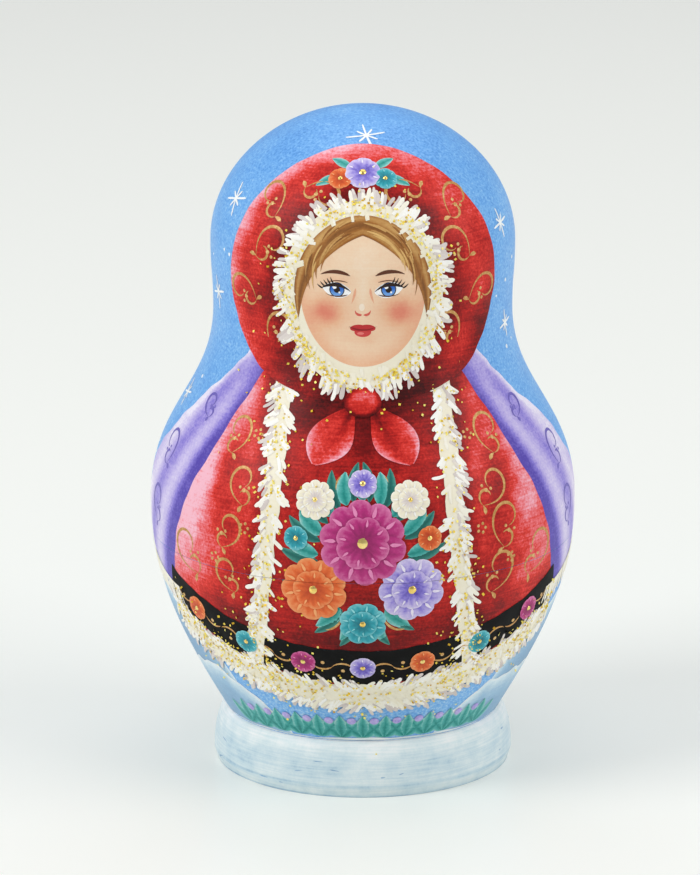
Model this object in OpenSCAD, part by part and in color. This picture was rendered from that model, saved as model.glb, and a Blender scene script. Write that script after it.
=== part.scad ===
// Nesting doll set: five turned wooden dolls of one shape. Each doll but the
// smallest parts below its belly, and the next one stands on its floor.
// Z is the turning axis and the outer doll stands on Z = 0.

/* [Outer doll] */
// Radius of the head at its widest
head_r = 24.9; // [23:0.1:27]
// How far the neck is drawn in from the head
neck_in = 0.4; // [0:0.1:1.5]
// Radius of the belly at its widest
belly_r = 35; // [32:0.1:40]
// Radius of the groove above the foot
groove_r = 22.6; // [20:0.1:25]
// Height of the groove above the base
groove_h = 9.1; // [8:0.1:11]
// Rise from the groove to the widest part of the belly
flank_h = 35.9; // [32:0.1:40]
// Rise from the widest part of the belly to the neck
shoulder_h = 32.2; // [28:0.1:36]
// Rise from the neck to the widest part of the head
cheek_h = 10.9; // [9:0.1:13]
// Rise from the widest part of the head to the crown
crown_h = 21.9; // [19:0.1:25]

/* [Foot of the outer doll] */
// How far the foot ring stands out past the groove
foot_out = 2.2; // [1:0.1:3]
// Height of the widest part of the foot ring
foot_h = 1.6; // [1:0.1:3]
// How far the edge of the base is drawn in from the foot ring
base_in = 0.5; // [0.2:0.1:1.5]

/* [Joint between the halves] */
// Drop from the widest part of the outer doll's belly to its parting line
seam_drop = 5.4; // [3:0.1:8]
// Height of the outer doll's spigot above its parting line
spigot_h = 8; // [6:0.1:9]
// Wall of each spigot
spigot_wall = 2.6; // [2:0.1:3]
// Radial clearance of a spigot in its socket
fit_gap = 0.1; // [0.05:0.01:0.2]
// Room between the end of a spigot and the end of its socket
seat_gap = 0.4; // [0.2:0.1:1]
// Bevel on the lead-in edge of a spigot
lead_bevel = 0.6; // [0.3:0.1:1]
// Bevel on the two edges that meet at a parting line
seam_bevel = 0.15; // [0.05:0.05:0.3]

/* [Nest] */
// How much smaller each doll is than the one around it, as a share of the outer doll
nest_step_share = 0.18; // [0.175:0.005:0.19]
// Radial clearance around a doll inside the next larger one
nest_gap = 0.9; // [0.6:0.1:1.2]
// Room between a doll's head and the roof above it
roof_gap = 1.2; // [0.6:0.1:2]
// Wall beside the foot of a held doll
heel_wall = 2.7; // [2:0.1:3.2]
// Room between a floor and the base that stands on it
stand_gap = 0.05; // [0.02:0.01:0.1]

/* [Hidden] */

$fn = 96;

// Paint on the lower and upper halves
coat_paint = "#C62F3A";
sky_paint = "#5B8FD8";

// Pull of each curve's handles, as shares of the rise or the width it spans
foot_shares = [0.55, 0.45];
flank_shares = [0.39, 0.60, 0.35];
bowl_shares = [0.45, 0.50];
shoulder_shares = [0.45, 0.43];
cheek_shares = [0.50, 0.50];
crown_shares = [0.54, 0.55];

// Number of straight steps along each curve
foot_steps = 6;
flank_steps = 14;
shoulder_steps = 14;
cheek_steps = 6;
crown_steps = 14;

// Radii and heights of the outer doll that follow from the sizes above
neck_r = head_r - neck_in;
foot_r = groove_r + foot_out;
base_r = foot_r - base_in;
belly_z = groove_h + flank_h;
neck_z = belly_z + shoulder_h;
head_z = neck_z + cheek_h;
doll_h = head_z + crown_h;
seam_z = belly_z - seam_drop;

// Points of a cubic curve from a to d with handles b and c, without its end
function curve(a, b, c, d, steps) = [
    for (i = [0 : steps - 1])
        let (t = i / steps, s = 1 - t)
            s ^ 3 * a + 3 * s ^ 2 * t * b + 3 * s * t ^ 2 * c + t ^ 3 * d
];

// Curve upright at both ends, between two radii at two heights
function upright(r0, z0, r1, z1, shares, steps) = curve(
    [r0, z0],
    [r0, z0 + shares[0] * (z1 - z0)],
    [r1, z1 - shares[1] * (z1 - z0)],
    [r1, z1],
    steps
);

// Dome that leaves its rim upright and is level at the axis
function dome(r, z0, z1) = concat(
    curve(
        [r, z0],
        [r, z0 + crown_shares[0] * (z1 - z0)],
        [crown_shares[1] * r, z1],
        [0, z1],
        crown_steps
    ),
    [[0, z1]]
);

function reverse(list) = [for (i = [len(list) - 1 : -1 : 0]) list[i]];

// Convex side of the foot ring, from its widest part up to the groove
foot_side = curve(
    [foot_r, foot_h],
    [foot_r, foot_h + foot_shares[0] * (groove_h - foot_h)],
    [groove_r + foot_shares[1] * foot_out, groove_h],
    [groove_r, groove_h],
    foot_steps
);

// Flank that leaves the groove on a slant and is upright at the belly
flank = curve(
    [groove_r, groove_h],
    [groove_r + flank_shares[1] * (belly_r - groove_r), groove_h + flank_shares[2] * flank_h],
    [belly_r, belly_z - flank_shares[0] * flank_h],
    [belly_r, belly_z],
    flank_steps
);

// Outside of the outer doll from the edge of its base to the crown
outside = concat(
    [[base_r, 0]],
    foot_side,
    flank,
    upright(belly_r, belly_z, neck_r, neck_z, shoulder_shares, shoulder_steps),
    upright(neck_r, neck_z, head_r, head_z, cheek_shares, cheek_steps),
    dome(head_r, head_z, doll_h)
);

// Size of a doll, counted inwards from 0, as a share of the outer doll
function size_of(i) = 1 - i * nest_step_share;

// Radius of a doll's outside at a height above its base
function skin_r(i, z) = lookup(z / size_of(i), [for (p = outside) [p[1], p[0]]]) * size_of(i);

// Height above a doll's base at which its flank has a radius
function flank_z(i, r) = lookup(r / size_of(i), flank) * size_of(i);

// Heights of the parting line and the spigot's end above a doll's base
function seam_of(i) = seam_z * size_of(i);
function spigot_top_of(i) = (seam_z + spigot_h) * size_of(i);

// Radii of the room for the held doll beside its belly, head and foot
function mouth_r(i) = belly_r * size_of(i + 1) + nest_gap;
function bore_r(i) = head_r * size_of(i + 1) + nest_gap;
function heel_r(i) = foot_r * size_of(i + 1) + nest_gap;

// Radii of a spigot and its socket
function spigot_r(i) = mouth_r(i) + spigot_wall;
function socket_r(i) = spigot_r(i) + fit_gap;

// Height of a doll's floor above its base: where the flank is a wall wider than the heel
function floor_of(i) = flank_z(i, heel_r(i) + heel_wall);

// Height of the held doll's base above a doll's own base
function held_of(i) = floor_of(i) + stand_gap;

// Height of a doll's base above the outer doll's base
function stand_of(i) = i == 0 ? 0 : stand_of(i - 1) + held_of(i - 1);

// Half section of a doll's lower half. The bowl turns into the straight mouth
// beside the held doll's belly, or at the spigot's end where that is lower.
function bottom_section(i) =
    let (bowl_top = min(held_of(i) + belly_z * size_of(i + 1), spigot_top_of(i)))
    concat(
        [[0, 0]],
        [for (p = outside * size_of(i)) if (p[1] < seam_of(i) - seam_bevel) p],
        [
            [skin_r(i, seam_of(i) - seam_bevel), seam_of(i) - seam_bevel],
            [skin_r(i, seam_of(i)) - seam_bevel, seam_of(i)],
            [spigot_r(i), seam_of(i)],
            [spigot_r(i), spigot_top_of(i) - lead_bevel],
            [spigot_r(i) - lead_bevel, spigot_top_of(i)],
            [mouth_r(i), spigot_top_of(i)]
        ],
        reverse(upright(heel_r(i), floor_of(i), mouth_r(i), bowl_top, bowl_shares, flank_steps)),
        [[0, floor_of(i)]]
    );

// Half section of a doll's upper half, with its socket and the room for the
// held doll's shoulders, head and crown
function top_section(i) =
    let (
        socket_end = spigot_top_of(i) + seat_gap,
        neck_end = held_of(i) + neck_z * size_of(i + 1),
        head_end = held_of(i) + head_z * size_of(i + 1),
        roof = held_of(i) + doll_h * size_of(i + 1) + roof_gap
    )
    concat(
        [
            [socket_r(i), seam_of(i)],
            [skin_r(i, seam_of(i)) - seam_bevel, seam_of(i)],
            [skin_r(i, seam_of(i) + seam_bevel), seam_of(i) + seam_bevel]
        ],
        [for (p = outside * size_of(i)) if (p[1] > seam_of(i) + seam_bevel) p],
        reverse(dome(bore_r(i), head_end, roof)),
        reverse(upright(mouth_r(i), socket_end, bore_r(i), neck_end, shoulder_shares, shoulder_steps)),
        [[socket_r(i), socket_end]]
    );

// A half section turned about the axis, with a doll's base at its height in the nest
module turned(section, i) {
    translate([0, 0, stand_of(i)])
        rotate_extrude()
            polygon(section);
}

module outer_bottom() {
    color(coat_paint)
        turned(bottom_section(0), 0);
}

module outer_top() {
    color(sky_paint)
        turned(top_section(0), 0);
}

module second_bottom() {
    color(coat_paint)
        turned(bottom_section(1), 1);
}

module second_top() {
    color(sky_paint)
        turned(top_section(1), 1);
}

module third_bottom() {
    color(coat_paint)
        turned(bottom_section(2), 2);
}

module third_top() {
    color(sky_paint)
        turned(top_section(2), 2);
}

module fourth_bottom() {
    color(coat_paint)
        turned(bottom_section(3), 3);
}

module fourth_top() {
    color(sky_paint)
        turned(top_section(3), 3);
}

module smallest_doll() {
    color(sky_paint)
        turned(concat([[0, 0]], outside * size_of(4)), 4);
}

outer_bottom();
outer_top();
second_bottom();
second_top();
third_bottom();
third_top();
fourth_bottom();
fourth_top();
smallest_doll();
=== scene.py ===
"""Looks of a turned and hand-painted wooden nesting doll set.

Every painted shape is worked out in millimetres on the outer doll: an angle from
the front and a length along the turned profile. The same picture, with fewer
brush strokes, is then scaled to each smaller doll and set at its place in the nest.
"""

import logging
import math
from dataclasses import dataclass, field
from enum import Enum
from typing import ClassVar

import bmesh
import bpy
import numpy as np
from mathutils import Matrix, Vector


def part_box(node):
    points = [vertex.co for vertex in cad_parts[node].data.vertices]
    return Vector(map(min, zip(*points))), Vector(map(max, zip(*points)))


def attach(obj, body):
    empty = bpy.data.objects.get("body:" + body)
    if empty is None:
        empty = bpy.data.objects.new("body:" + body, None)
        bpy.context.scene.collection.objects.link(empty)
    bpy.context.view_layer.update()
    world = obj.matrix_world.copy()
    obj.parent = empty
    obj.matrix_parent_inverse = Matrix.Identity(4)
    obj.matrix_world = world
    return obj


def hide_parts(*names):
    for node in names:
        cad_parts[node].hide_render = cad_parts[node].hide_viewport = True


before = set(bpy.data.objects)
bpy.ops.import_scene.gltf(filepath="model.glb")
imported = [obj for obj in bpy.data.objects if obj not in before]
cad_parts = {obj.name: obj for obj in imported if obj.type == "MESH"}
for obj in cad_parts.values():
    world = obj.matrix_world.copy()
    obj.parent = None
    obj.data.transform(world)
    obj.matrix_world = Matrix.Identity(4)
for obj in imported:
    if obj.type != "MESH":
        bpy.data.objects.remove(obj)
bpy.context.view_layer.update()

LOG = logging.getLogger("nesting_doll")
MM = 0.001
TINY = 1e-6
FIRST_SEED = 11
# How far paint stops short of the parting line in millimetres.
SEAM_GAP = 0.03
SIDES = (-1, 1)
Array = np.ndarray


def linear(code: str) -> tuple[float, float, float, float]:
    """Turns an sRGB hex colour into linear RGBA.

    Args:
        code: Colour such as "#C62F3A".

    Returns:
        The linear colour with full alpha.
    """
    parts = [int(code[i : i + 2], 16) / 255 for i in (1, 3, 5)]
    lit = [c / 12.92 if c <= 0.04045 else ((c + 0.055) / 1.055) ** 2.4 for c in parts]
    return (lit[0], lit[1], lit[2], 1.0)


def smooth(low: float, high: float, x: Array) -> Array:
    """Rises from 0 at low to 1 at high along a smooth step."""
    t = np.clip((x - low) / (high - low), 0, 1)
    return t * t * (3 - 2 * t)


def bell(x: Array, middle: float, width: float) -> Array:
    """Bell curve of height 1 about a middle."""
    return np.exp(-(((x - middle) / width) ** 2))


def waver(x: Array, size: float, seed: float) -> Array:
    """Unsteadiness of a hand: three sines of unlike periods, of about the given size."""
    return size * (
        0.5 * np.sin(2.3 * x + seed)
        + 0.3 * np.sin(5.1 * x + 1.7 * seed)
        + 0.2 * np.sin(9.7 * x + 2.9 * seed)
    )


def disc(count: int) -> tuple[Array, Array]:
    """Square grid pressed into a disc, so that no pole is needed.

    A point (x, y) of the square goes to (x sqrt(1 - y^2/2), y sqrt(1 - x^2/2)).

    Args:
        count: Points along each side.

    Returns:
        Distance from the middle, 0 to 1, and angle from the right.
    """
    side = np.linspace(-1, 1, count)
    x, y = np.meshgrid(side, side, indexing="ij")
    across = x * np.sqrt(1 - y * y / 2)
    up = y * np.sqrt(1 - x * x / 2)
    return np.hypot(across, up), np.arctan2(up, across)


def bezier(a: tuple, b: tuple, c: tuple, d: tuple, count: int) -> Array:
    """Cubic curve: s^3 a + 3 s^2 t b + 3 s t^2 c + t^3 d, with s = 1 - t.

    Args:
        a: Start.
        b: Handle of the start.
        c: Handle of the end.
        d: End.
        count: Number of points.

    Returns:
        The points.
    """
    t = np.linspace(0, 1, count)[:, None]
    s = 1 - t
    a, b, c, d = (np.array(p, float) for p in (a, b, c, d))
    return s**3 * a + 3 * s**2 * t * b + 3 * s * t**2 * c + t**3 * d


def grid(columns: int, rows: int, left: float = -1, right: float = 1) -> tuple[Array, Array]:
    """Parameters of a surface: from left to right as a column, and from 0 to 1 as a row."""
    return np.linspace(left, right, columns)[:, None], np.linspace(0, 1, rows)[None, :]


def ribbon(columns: int, rows: int) -> tuple[Array, Array]:
    """Parameters of many strokes: across from -1 to 1, and along from 0 to 1."""
    across, along = grid(columns, rows)
    return across[None], along[None]


def per_shape(x: Array | float, like: Array) -> Array:
    """One value for each of many shapes, ahead of their columns and rows."""
    return np.broadcast_to(x, np.shape(like))[:, None, None]


def in_turn(count: int) -> Array:
    """1 and -1 in turn."""
    return 1.0 - 2.0 * (np.arange(count) % 2)


def mirrored(heading: Array | float, side: int) -> Array | float:
    """Heading on the right side, or its mirror image on the left."""
    return heading if side > 0 else np.pi - heading


class Half(Enum):
    """Which turned piece of a doll."""

    BOTTOM = "bottom"
    TOP = "top"
    WHOLE = "doll"


class Tip(Enum):
    """How a brush stroke ends."""

    POINTED = "pointed"
    BLUNT = "blunt"


class Group(Enum):
    """Painted layers that make one piece on each half."""

    SCENE = "winter_scene"
    DRESS = "dress"
    TRIM = "trim"
    FACE = "face"
    GILDING = "gilding"


# Lift of each layer over the wood in millimetres, so that later paint lies on earlier paint.
LIFTS = {
    Group.SCENE: 0.0, Group.DRESS: 0.04, Group.TRIM: 0.06, Group.FACE: 0.07, Group.GILDING: 0.04,
}
# Sizes of the patterns in the paint in millimetres: dry-brush speckle, cloudiness, wet wash,
# and the spacing and length of brush and turning lines.
SPECKLE, CLOUD, WASH, LINE_GAP, LINE_LONG = 0.42, 2.5, 7.0, 0.3, 8.0


def add_node(
    tree: bpy.types.NodeTree,
    kind: str,
    settings: dict | None = None,
    values: dict | None = None,
    links: dict | None = None,
) -> bpy.types.Node:
    """Adds one shader node.

    Args:
        tree: Node tree of a material.
        kind: Blender's node type.
        settings: Node properties by name.
        values: Constants by input socket.
        links: Output sockets by input socket.

    Returns:
        The new node.
    """
    made = tree.nodes.new(kind)
    for name, value in (settings or {}).items():
        setattr(made, name, value)
    for socket, value in (values or {}).items():
        made.inputs[socket].default_value = value
    for socket, source in (links or {}).items():
        tree.links.new(source, made.inputs[socket])
    return made


def add_noise(
    tree: bpy.types.NodeTree, place: bpy.types.NodeSocket, scale: float, detail: float,
    roughness: float = 0.5,
) -> bpy.types.NodeSocket:
    """Adds a noise pattern.

    Args:
        tree: Node tree of a material.
        place: Coordinates that it reads.
        scale: Cells to a unit of the coordinates.
        detail: Finer layers in it.
        roughness: Strength of the finer layers.

    Returns:
        Its value, which gathers about 0.5.
    """
    values = {"Scale": scale, "Detail": detail, "Roughness": roughness}
    return add_node(tree, "ShaderNodeTexNoise", None, values, {"Vector": place}).outputs["Fac"]


@dataclass(frozen=True)
class Finish:
    """One paint or surface: colours from dark to light and how it was laid on.

    Attributes:
        name: Material name.
        ramp: Pairs of shade and sRGB hex, from dark to light.
        roughness: Middle roughness.
        metallic: Metallic share.
        coat: Weight of the clear varnish.
        stipple: How much a 0.42 mm dry-brush speckle moves the shade.
        mottle: How much a 2.5 mm cloudiness moves the shade.
        wash: How much a 7 mm cloudiness, as of a wet brush, moves the shade.
        streak: How much level brush and turning lines move the shade.
        relief: Height in millimetres of the speckle and lines.
        specular: Strength of the mirror reflection, low on dry-brushed paint.
        upright: Whether the streaks run along the axis, as wood grain does.
    """

    name: str
    ramp: tuple[tuple[float, str], ...]
    roughness: float = 0.46
    metallic: float = 0.0
    coat: float = 0.05
    stipple: float = 0.10
    mottle: float = 0.06
    wash: float = 0.0
    streak: float = 0.05
    relief: float = 0.012
    specular: float = 0.3
    upright: bool = False

    def material(self) -> bpy.types.Material:
        """Makes the material once and hands it out after that.

        Returns:
            The material, whose shade attribute, speckle, cloudiness and lines are added
            up and looked up in the colour ramp.
        """
        made = bpy.data.materials.get(self.name)
        if made:
            return made
        made = bpy.data.materials.new(self.name)
        made.use_nodes = True
        tree = made.node_tree
        shader = tree.nodes["Principled BSDF"]
        place = add_node(tree, "ShaderNodeTexCoord").outputs["Object"]
        # Object coordinates are metres: 1 / (size in metres) gives one cell per size.
        speckle = add_noise(tree, place, 1 / (SPECKLE * MM), 2.0, 0.6)
        cloud = add_noise(tree, place, 1 / (CLOUD * MM), 3.0)
        broad = add_noise(tree, place, 1 / (WASH * MM), 2.0)
        thin, long = 1 / (LINE_GAP * MM), 1 / (LINE_LONG * MM)
        drawn = (thin, thin, long) if self.upright else (long, long, thin)
        mapped = add_node(tree, "ShaderNodeMapping", None, {"Scale": drawn}, {"Vector": place})
        lines = add_noise(tree, mapped.outputs[0], 1.0, 2.0)
        shade = add_node(
            tree, "ShaderNodeAttribute", {"attribute_name": "shade", "attribute_type": "GEOMETRY"}
        ).outputs["Fac"]
        # Noise gathers about 0.5 and spans about 0.3, so each share is tripled.
        for source, share in (
            (speckle, self.stipple), (cloud, self.mottle), (broad, self.wash), (lines, self.streak),
        ):
            off = add_node(
                tree, "ShaderNodeMath", {"operation": "MULTIPLY_ADD"},
                {1: 3 * share, 2: -1.5 * share}, {0: source},
            )
            shade = add_node(
                tree, "ShaderNodeMath", {"operation": "ADD"}, None, {0: shade, 1: off.outputs[0]}
            ).outputs[0]
        ramp = add_node(tree, "ShaderNodeValToRGB", None, None, {"Fac": shade})
        stops = ramp.color_ramp.elements
        for _ in range(len(self.ramp) - 2):
            stops.new(0.5)
        for stop, (spot, code) in zip(stops, self.ramp, strict=True):
            stop.position = spot
            stop.color = linear(code)
        tree.links.new(ramp.outputs["Color"], shader.inputs["Base Color"])
        rough = add_node(
            tree, "ShaderNodeMapRange", None,
            {"From Min": 0.3, "From Max": 0.7,
             "To Min": self.roughness - 0.07, "To Max": self.roughness + 0.07},
            {"Value": cloud},
        )
        tree.links.new(rough.outputs[0], shader.inputs["Roughness"])
        height = add_node(
            tree, "ShaderNodeMath", {"operation": "ADD"}, None, {0: speckle, 1: lines}
        )
        bump = add_node(
            tree, "ShaderNodeBump", None,
            {"Strength": 0.5, "Distance": self.relief * MM}, {"Height": height.outputs[0]},
        )
        tree.links.new(bump.outputs[0], shader.inputs["Normal"])
        shader.inputs["Metallic"].default_value = self.metallic
        shader.inputs["Specular IOR Level"].default_value = self.specular
        shader.inputs["Coat Weight"].default_value = self.coat
        shader.inputs["Coat Roughness"].default_value = 0.25
        return made


# Satin acrylic sprayed thin over the wood: clear blue with a fine speckle.
SKY = Finish(
    "sky_acrylic_on_linden",
    ((0.0, "#4484CE"), (0.3, "#60A0E6"), (0.5, "#73B1EE"), (0.7, "#8CC2F4"), (1.0, "#BEDDF6")),
    stipple=0.44, mottle=0.06, wash=0.10, streak=0.05,
)
# White brushed thin over blue round the foot, so level brush lines show through.
FOOT_WASH = Finish(
    "white_wash_on_foot",
    ((0.0, "#8FB6D0"), (0.3, "#C6DDE7"), (0.65, "#E2EFF2"), (1.0, "#FBFDFD")),
    stipple=0.08, mottle=0.20, wash=0.18, streak=0.20, relief=0.02,
)
# Linden straight from the chisel: creamy, faint upright grain, dull.
LINDEN = Finish(
    "bare_turned_linden",
    ((0.0, "#C9A876"), (0.5, "#E3CBA0"), (1.0, "#F0DFBE")),
    roughness=0.62, coat=0.0, stipple=0.06, mottle=0.10, streak=0.28, relief=0.02, upright=True,
)
# Red acrylic built up in dry-brushed coats, from deep shadow to pink edges.
RED = Finish(
    "red_dry_brushed_acrylic",
    ((0.0, "#3C0406"), (0.26, "#7C0D0F"), (0.48, "#BC211D"), (0.64, "#E23A31"),
     (0.80, "#F07A82"), (1.0, "#F9BECE")),
    coat=0.02, specular=0.18, stipple=0.15, mottle=0.10, wash=0.16, streak=0.10,
)
# Lilac acrylic with violet painted shade in its folds.
LILAC = Finish(
    "lilac_dry_brushed_acrylic",
    ((0.0, "#5646AE"), (0.3, "#8A7CD6"), (0.55, "#B8ABE6"), (0.8, "#D6CCF0"), (1.0, "#F0EAFA")),
    stipple=0.16, mottle=0.08,
)
# Violet line of a fine brush on the lilac.
VIOLET_LINE = Finish("violet_brush_line", ((0.0, "#4A3EA0"), (1.0, "#8C80D2")), stipple=0.15)
# Teal acrylic with pale dry-brushed lights.
TEAL = Finish(
    "teal_dry_brushed_acrylic",
    ((0.0, "#0E5C5C"), (0.35, "#23918A"), (0.6, "#52B2AC"), (1.0, "#B4E0DC")),
    stipple=0.12, mottle=0.08,
)
# Cream acrylic combed on thick with a fine brush.
CREAM = Finish(
    "cream_combed_acrylic",
    ((0.0, "#CFC3BE"), (0.3, "#E4DBD6"), (0.55, "#F4ECD2"), (0.8, "#FAF5E4"), (1.0, "#FFFEFA")),
    stipple=0.06, mottle=0.06, streak=0.03, relief=0.02,
)
# White acrylic that thins out into the blue.
SNOW = Finish(
    "snow_white_acrylic",
    ((0.0, "#739FC6"), (0.4, "#9CC3E0"), (0.75, "#D3E8F3"), (1.0, "#F8FCFD")),
    stipple=0.09, mottle=0.10,
)
# Black acrylic: dull, with pale specks for fine glitter and its painted glints.
BLACK = Finish(
    "black_acrylic", ((0.0, "#020202"), (0.7, "#050506"), (0.9, "#1E1E22"), (1.0, "#6A6A72")),
    roughness=0.6, coat=0.0, specular=0.15, stipple=0.34, mottle=0.06,
)
# Dark brown ink drawn with the tip of a brush.
INK = Finish("brown_brush_ink", ((0.0, "#1D0F0B"), (1.0, "#6B3A24")), stipple=0.05)
# Flesh acrylic with rouge rubbed into the cheeks.
FLESH = Finish(
    "flesh_acrylic_with_rouge",
    ((0.0, "#D8574F"), (0.3, "#E78F74"), (0.55, "#F0BC97"), (0.8, "#F7D9B9"), (1.0, "#FCEBD6")),
    stipple=0.05, mottle=0.05, streak=0.03,
)
# Honey-brown acrylic drawn in fine hairs, light on dark.
HAIR = Finish(
    "honey_brown_acrylic", ((0.0, "#5E3516"), (0.5, "#A86E33"), (1.0, "#E2B873")), stipple=0.08,
)
# Smooth white of the eyes, greyed at the top by the lid's painted shadow.
EYE_WHITE = Finish("eye_white_acrylic", ((0.0, "#C9D2DC"), (1.0, "#FFFFFF")), stipple=0.02)
# Clear blue of the eyes, deep at the top in the lid's painted shadow and bright below.
IRIS = Finish(
    "eye_blue_acrylic", ((0.0, "#173E8C"), (0.5, "#2F6FD0"), (1.0, "#7FB4F0")), stipple=0.03,
)
# Smooth red of the lips with one pale light.
LIP = Finish(
    "lip_red_acrylic", ((0.0, "#8E1A1E"), (0.5, "#CC3236"), (1.0, "#EE7E78")), stipple=0.04,
)
# Cold dark green of the firs and under-leaves, unlike from stroke to stroke.
FIR = Finish(
    "fir_green_acrylic", ((0.0, "#0B3F3E"), (0.5, "#1C6E66"), (1.0, "#57A396")), stipple=0.10,
)
# Petal paints: each deep at the heart of a flower and pale at the rim.
ORANGE = Finish("orange_acrylic", ((0.0, "#B53A17"), (0.5, "#E5682F"), (1.0, "#F8B074")))
MAGENTA = Finish("magenta_acrylic", ((0.0, "#7C1650"), (0.5, "#B9307C"), (1.0, "#E98FBE")))
TURQUOISE = Finish("turquoise_acrylic", ((0.0, "#14707E"), (0.5, "#2EA3B2"), (1.0, "#93DCE0")))
# Bronze powder in varnish: dull gold lines that let the red through.
GOLD_LINE = Finish(
    "bronze_powder_paint", ((0.0, "#9C6230"), (0.5, "#C79352"), (1.0, "#EBCB8C")),
    roughness=0.42, metallic=0.15, stipple=0.42,
)
# Crinkled metal leaf: bright, with sharp small folds.
GOLD_LEAF = Finish(
    "gold_leaf", ((0.0, "#8F6A1C"), (0.5, "#E3BC4E"), (1.0, "#FBE9A0")),
    roughness=0.24, metallic=0.95, coat=0.3, stipple=0.10, mottle=0.25, relief=0.06,
)
# Loose craft glitter: flat metallic flakes that catch the light one by one.
GLITTER = Finish(
    "gold_craft_glitter", ((0.0, "#C9981A"), (0.18, "#F0CC30"), (1.0, "#FFF384")),
    roughness=0.35, metallic=0.12, coat=0.0, stipple=0.0, mottle=0.0, streak=0.0,
)


@dataclass
class Turning:
    """Turned outside of the doll, in millimetres at the outer doll's size.

    The outside is a chain of cubic curves: foot, flank, shoulder, cheek and crown.
    Tables of radius, height and outward normal along its length place the paint. Each
    share is the pull of a curve's handles over the rise or the width that it spans.
    """

    head_r: float = 24.9
    neck_r: float = 24.5
    belly_r: float = 35.0
    groove_r: float = 22.6
    foot_r: float = 24.8
    base_r: float = 24.3
    foot_z: float = 1.6
    groove_z: float = 9.1
    belly_z: float = 45.0
    neck_z: float = 77.2
    head_z: float = 88.1
    doll_h: float = 110.0
    seam_z: float = 39.6
    spigot_h: float = 8.0
    spigot_wall: float = 2.6
    fit_gap: float = 0.1
    seat_gap: float = 0.4
    lead_bevel: float = 0.6
    seam_bevel: float = 0.09
    nest_step: float = 0.18
    nest_gap: float = 0.9
    roof_gap: float = 1.2
    heel_wall: float = 2.7
    stand_gap: float = 0.05
    foot_shares: tuple = (0.55, 0.45)
    flank_shares: tuple = (0.60, 0.35, 0.39)
    bowl_shares: tuple = (0.45, 0.50)
    shoulder_shares: tuple = (0.45, 0.43)
    cheek_shares: tuple = (0.5, 0.5)
    crown_shares: tuple = (0.54, 0.55)
    points: Array = field(init=False)
    length: Array = field(init=False)
    normal: Array = field(init=False)

    def __post_init__(self) -> None:
        """Fills the tables: points a few tenths of a millimetre apart, then lengths and normals."""
        base, foot = (self.base_r, 0), (self.foot_r, self.foot_z)
        groove, belly = (self.groove_r, self.groove_z), (self.belly_r, self.belly_z)
        foot_up = self.foot_z + self.foot_shares[0] * (self.groove_z - self.foot_z)
        foot_in = self.groove_r + self.foot_shares[1] * (self.foot_r - self.groove_r)
        rise, swell = self.belly_z - self.groove_z, self.belly_r - self.groove_r
        out, up, down = self.flank_shares
        slant = (self.groove_r + out * swell, self.groove_z + up * rise)
        neck, head = (self.neck_r, self.neck_z), (self.head_r, self.head_z)
        chain = [
            np.linspace(base, foot, 5),
            bezier(foot, (self.foot_r, foot_up), (foot_in, self.groove_z), groove, 36),
            bezier(groove, slant, (self.belly_r, self.belly_z - down * rise), belly, 64),
            self.upright(*belly, *neck, self.shoulder_shares, 48),
            self.upright(*neck, *head, self.cheek_shares, 18),
            self.dome(*head, self.doll_h, 56),
        ]
        self.points = np.concatenate([chain[0]] + [part[1:] for part in chain[1:]])
        step = np.diff(self.points, axis=0)
        self.length = np.concatenate([[0], np.cumsum(np.hypot(step[:, 0], step[:, 1]))])
        tangent = np.gradient(self.points, self.length, axis=0)
        tangent /= np.linalg.norm(tangent, axis=1)[:, None]
        self.normal = np.stack([tangent[:, 1], -tangent[:, 0]], axis=1)

    @staticmethod
    def upright(r0: float, z0: float, r1: float, z1: float, shares: tuple, count: int) -> Array:
        """Curve upright at both ends, between two radii at two heights."""
        low, high = z0 + shares[0] * (z1 - z0), z1 - shares[1] * (z1 - z0)
        return bezier((r0, z0), (r0, low), (r1, high), (r1, z1), count)

    def dome(self, r: float, z0: float, z1: float, count: int) -> Array:
        """Curve that leaves its rim upright and is level at the axis."""
        up, out = self.crown_shares
        return bezier((r, z0), (r, z0 + up * (z1 - z0)), (out * r, z1), (0, z1), count)

    def along(self, z: Array | float) -> Array:
        """Length along the profile at a height."""
        return np.interp(z, self.points[:, 1], self.length)

    def radius(self, s: Array | float) -> Array:
        """Radius at a length along the profile."""
        return np.interp(s, self.length, self.points[:, 0])

    def height(self, s: Array | float) -> Array:
        """Height at a length along the profile."""
        return np.interp(s, self.length, self.points[:, 1])

    def place(self, theta: Array, s: Array, lift: Array) -> tuple[Array, Array]:
        """Points over the outside: (r sin theta, -r cos theta, z) moved out by lift.

        Args:
            theta: Angle from the front, towards the viewer's right.
            s: Length along the profile.
            lift: Height over the wood.

        Returns:
            Points and outward normals, with a last axis of three.
        """
        out, up = (np.interp(s, self.length, self.normal[:, i]) for i in (0, 1))
        r = self.radius(s) + lift * out
        z = self.height(s) + lift * up
        spot = np.stack([r * np.sin(theta), -r * np.cos(theta), z], axis=-1)
        return spot, np.stack([out * np.sin(theta), -out * np.cos(theta), up], axis=-1)

    def size(self, i: int) -> float:
        """Share of the outer doll's size, counted inwards from 0."""
        return 1 - i * self.nest_step

    def floor(self, i: int) -> float:
        """Height of a doll's floor: where its flank is a wall wider than the held foot.

        Args:
            i: Doll, counted inwards from 0.

        Returns:
            The height above the doll's base.
        """
        wanted = (self.foot_r * self.size(i + 1) + self.nest_gap + self.heel_wall) / self.size(i)
        r, z = self.points.T
        flank = (z >= self.groove_z) & (z <= self.belly_z)
        return float(np.interp(wanted, r[flank], z[flank])) * self.size(i)

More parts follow.
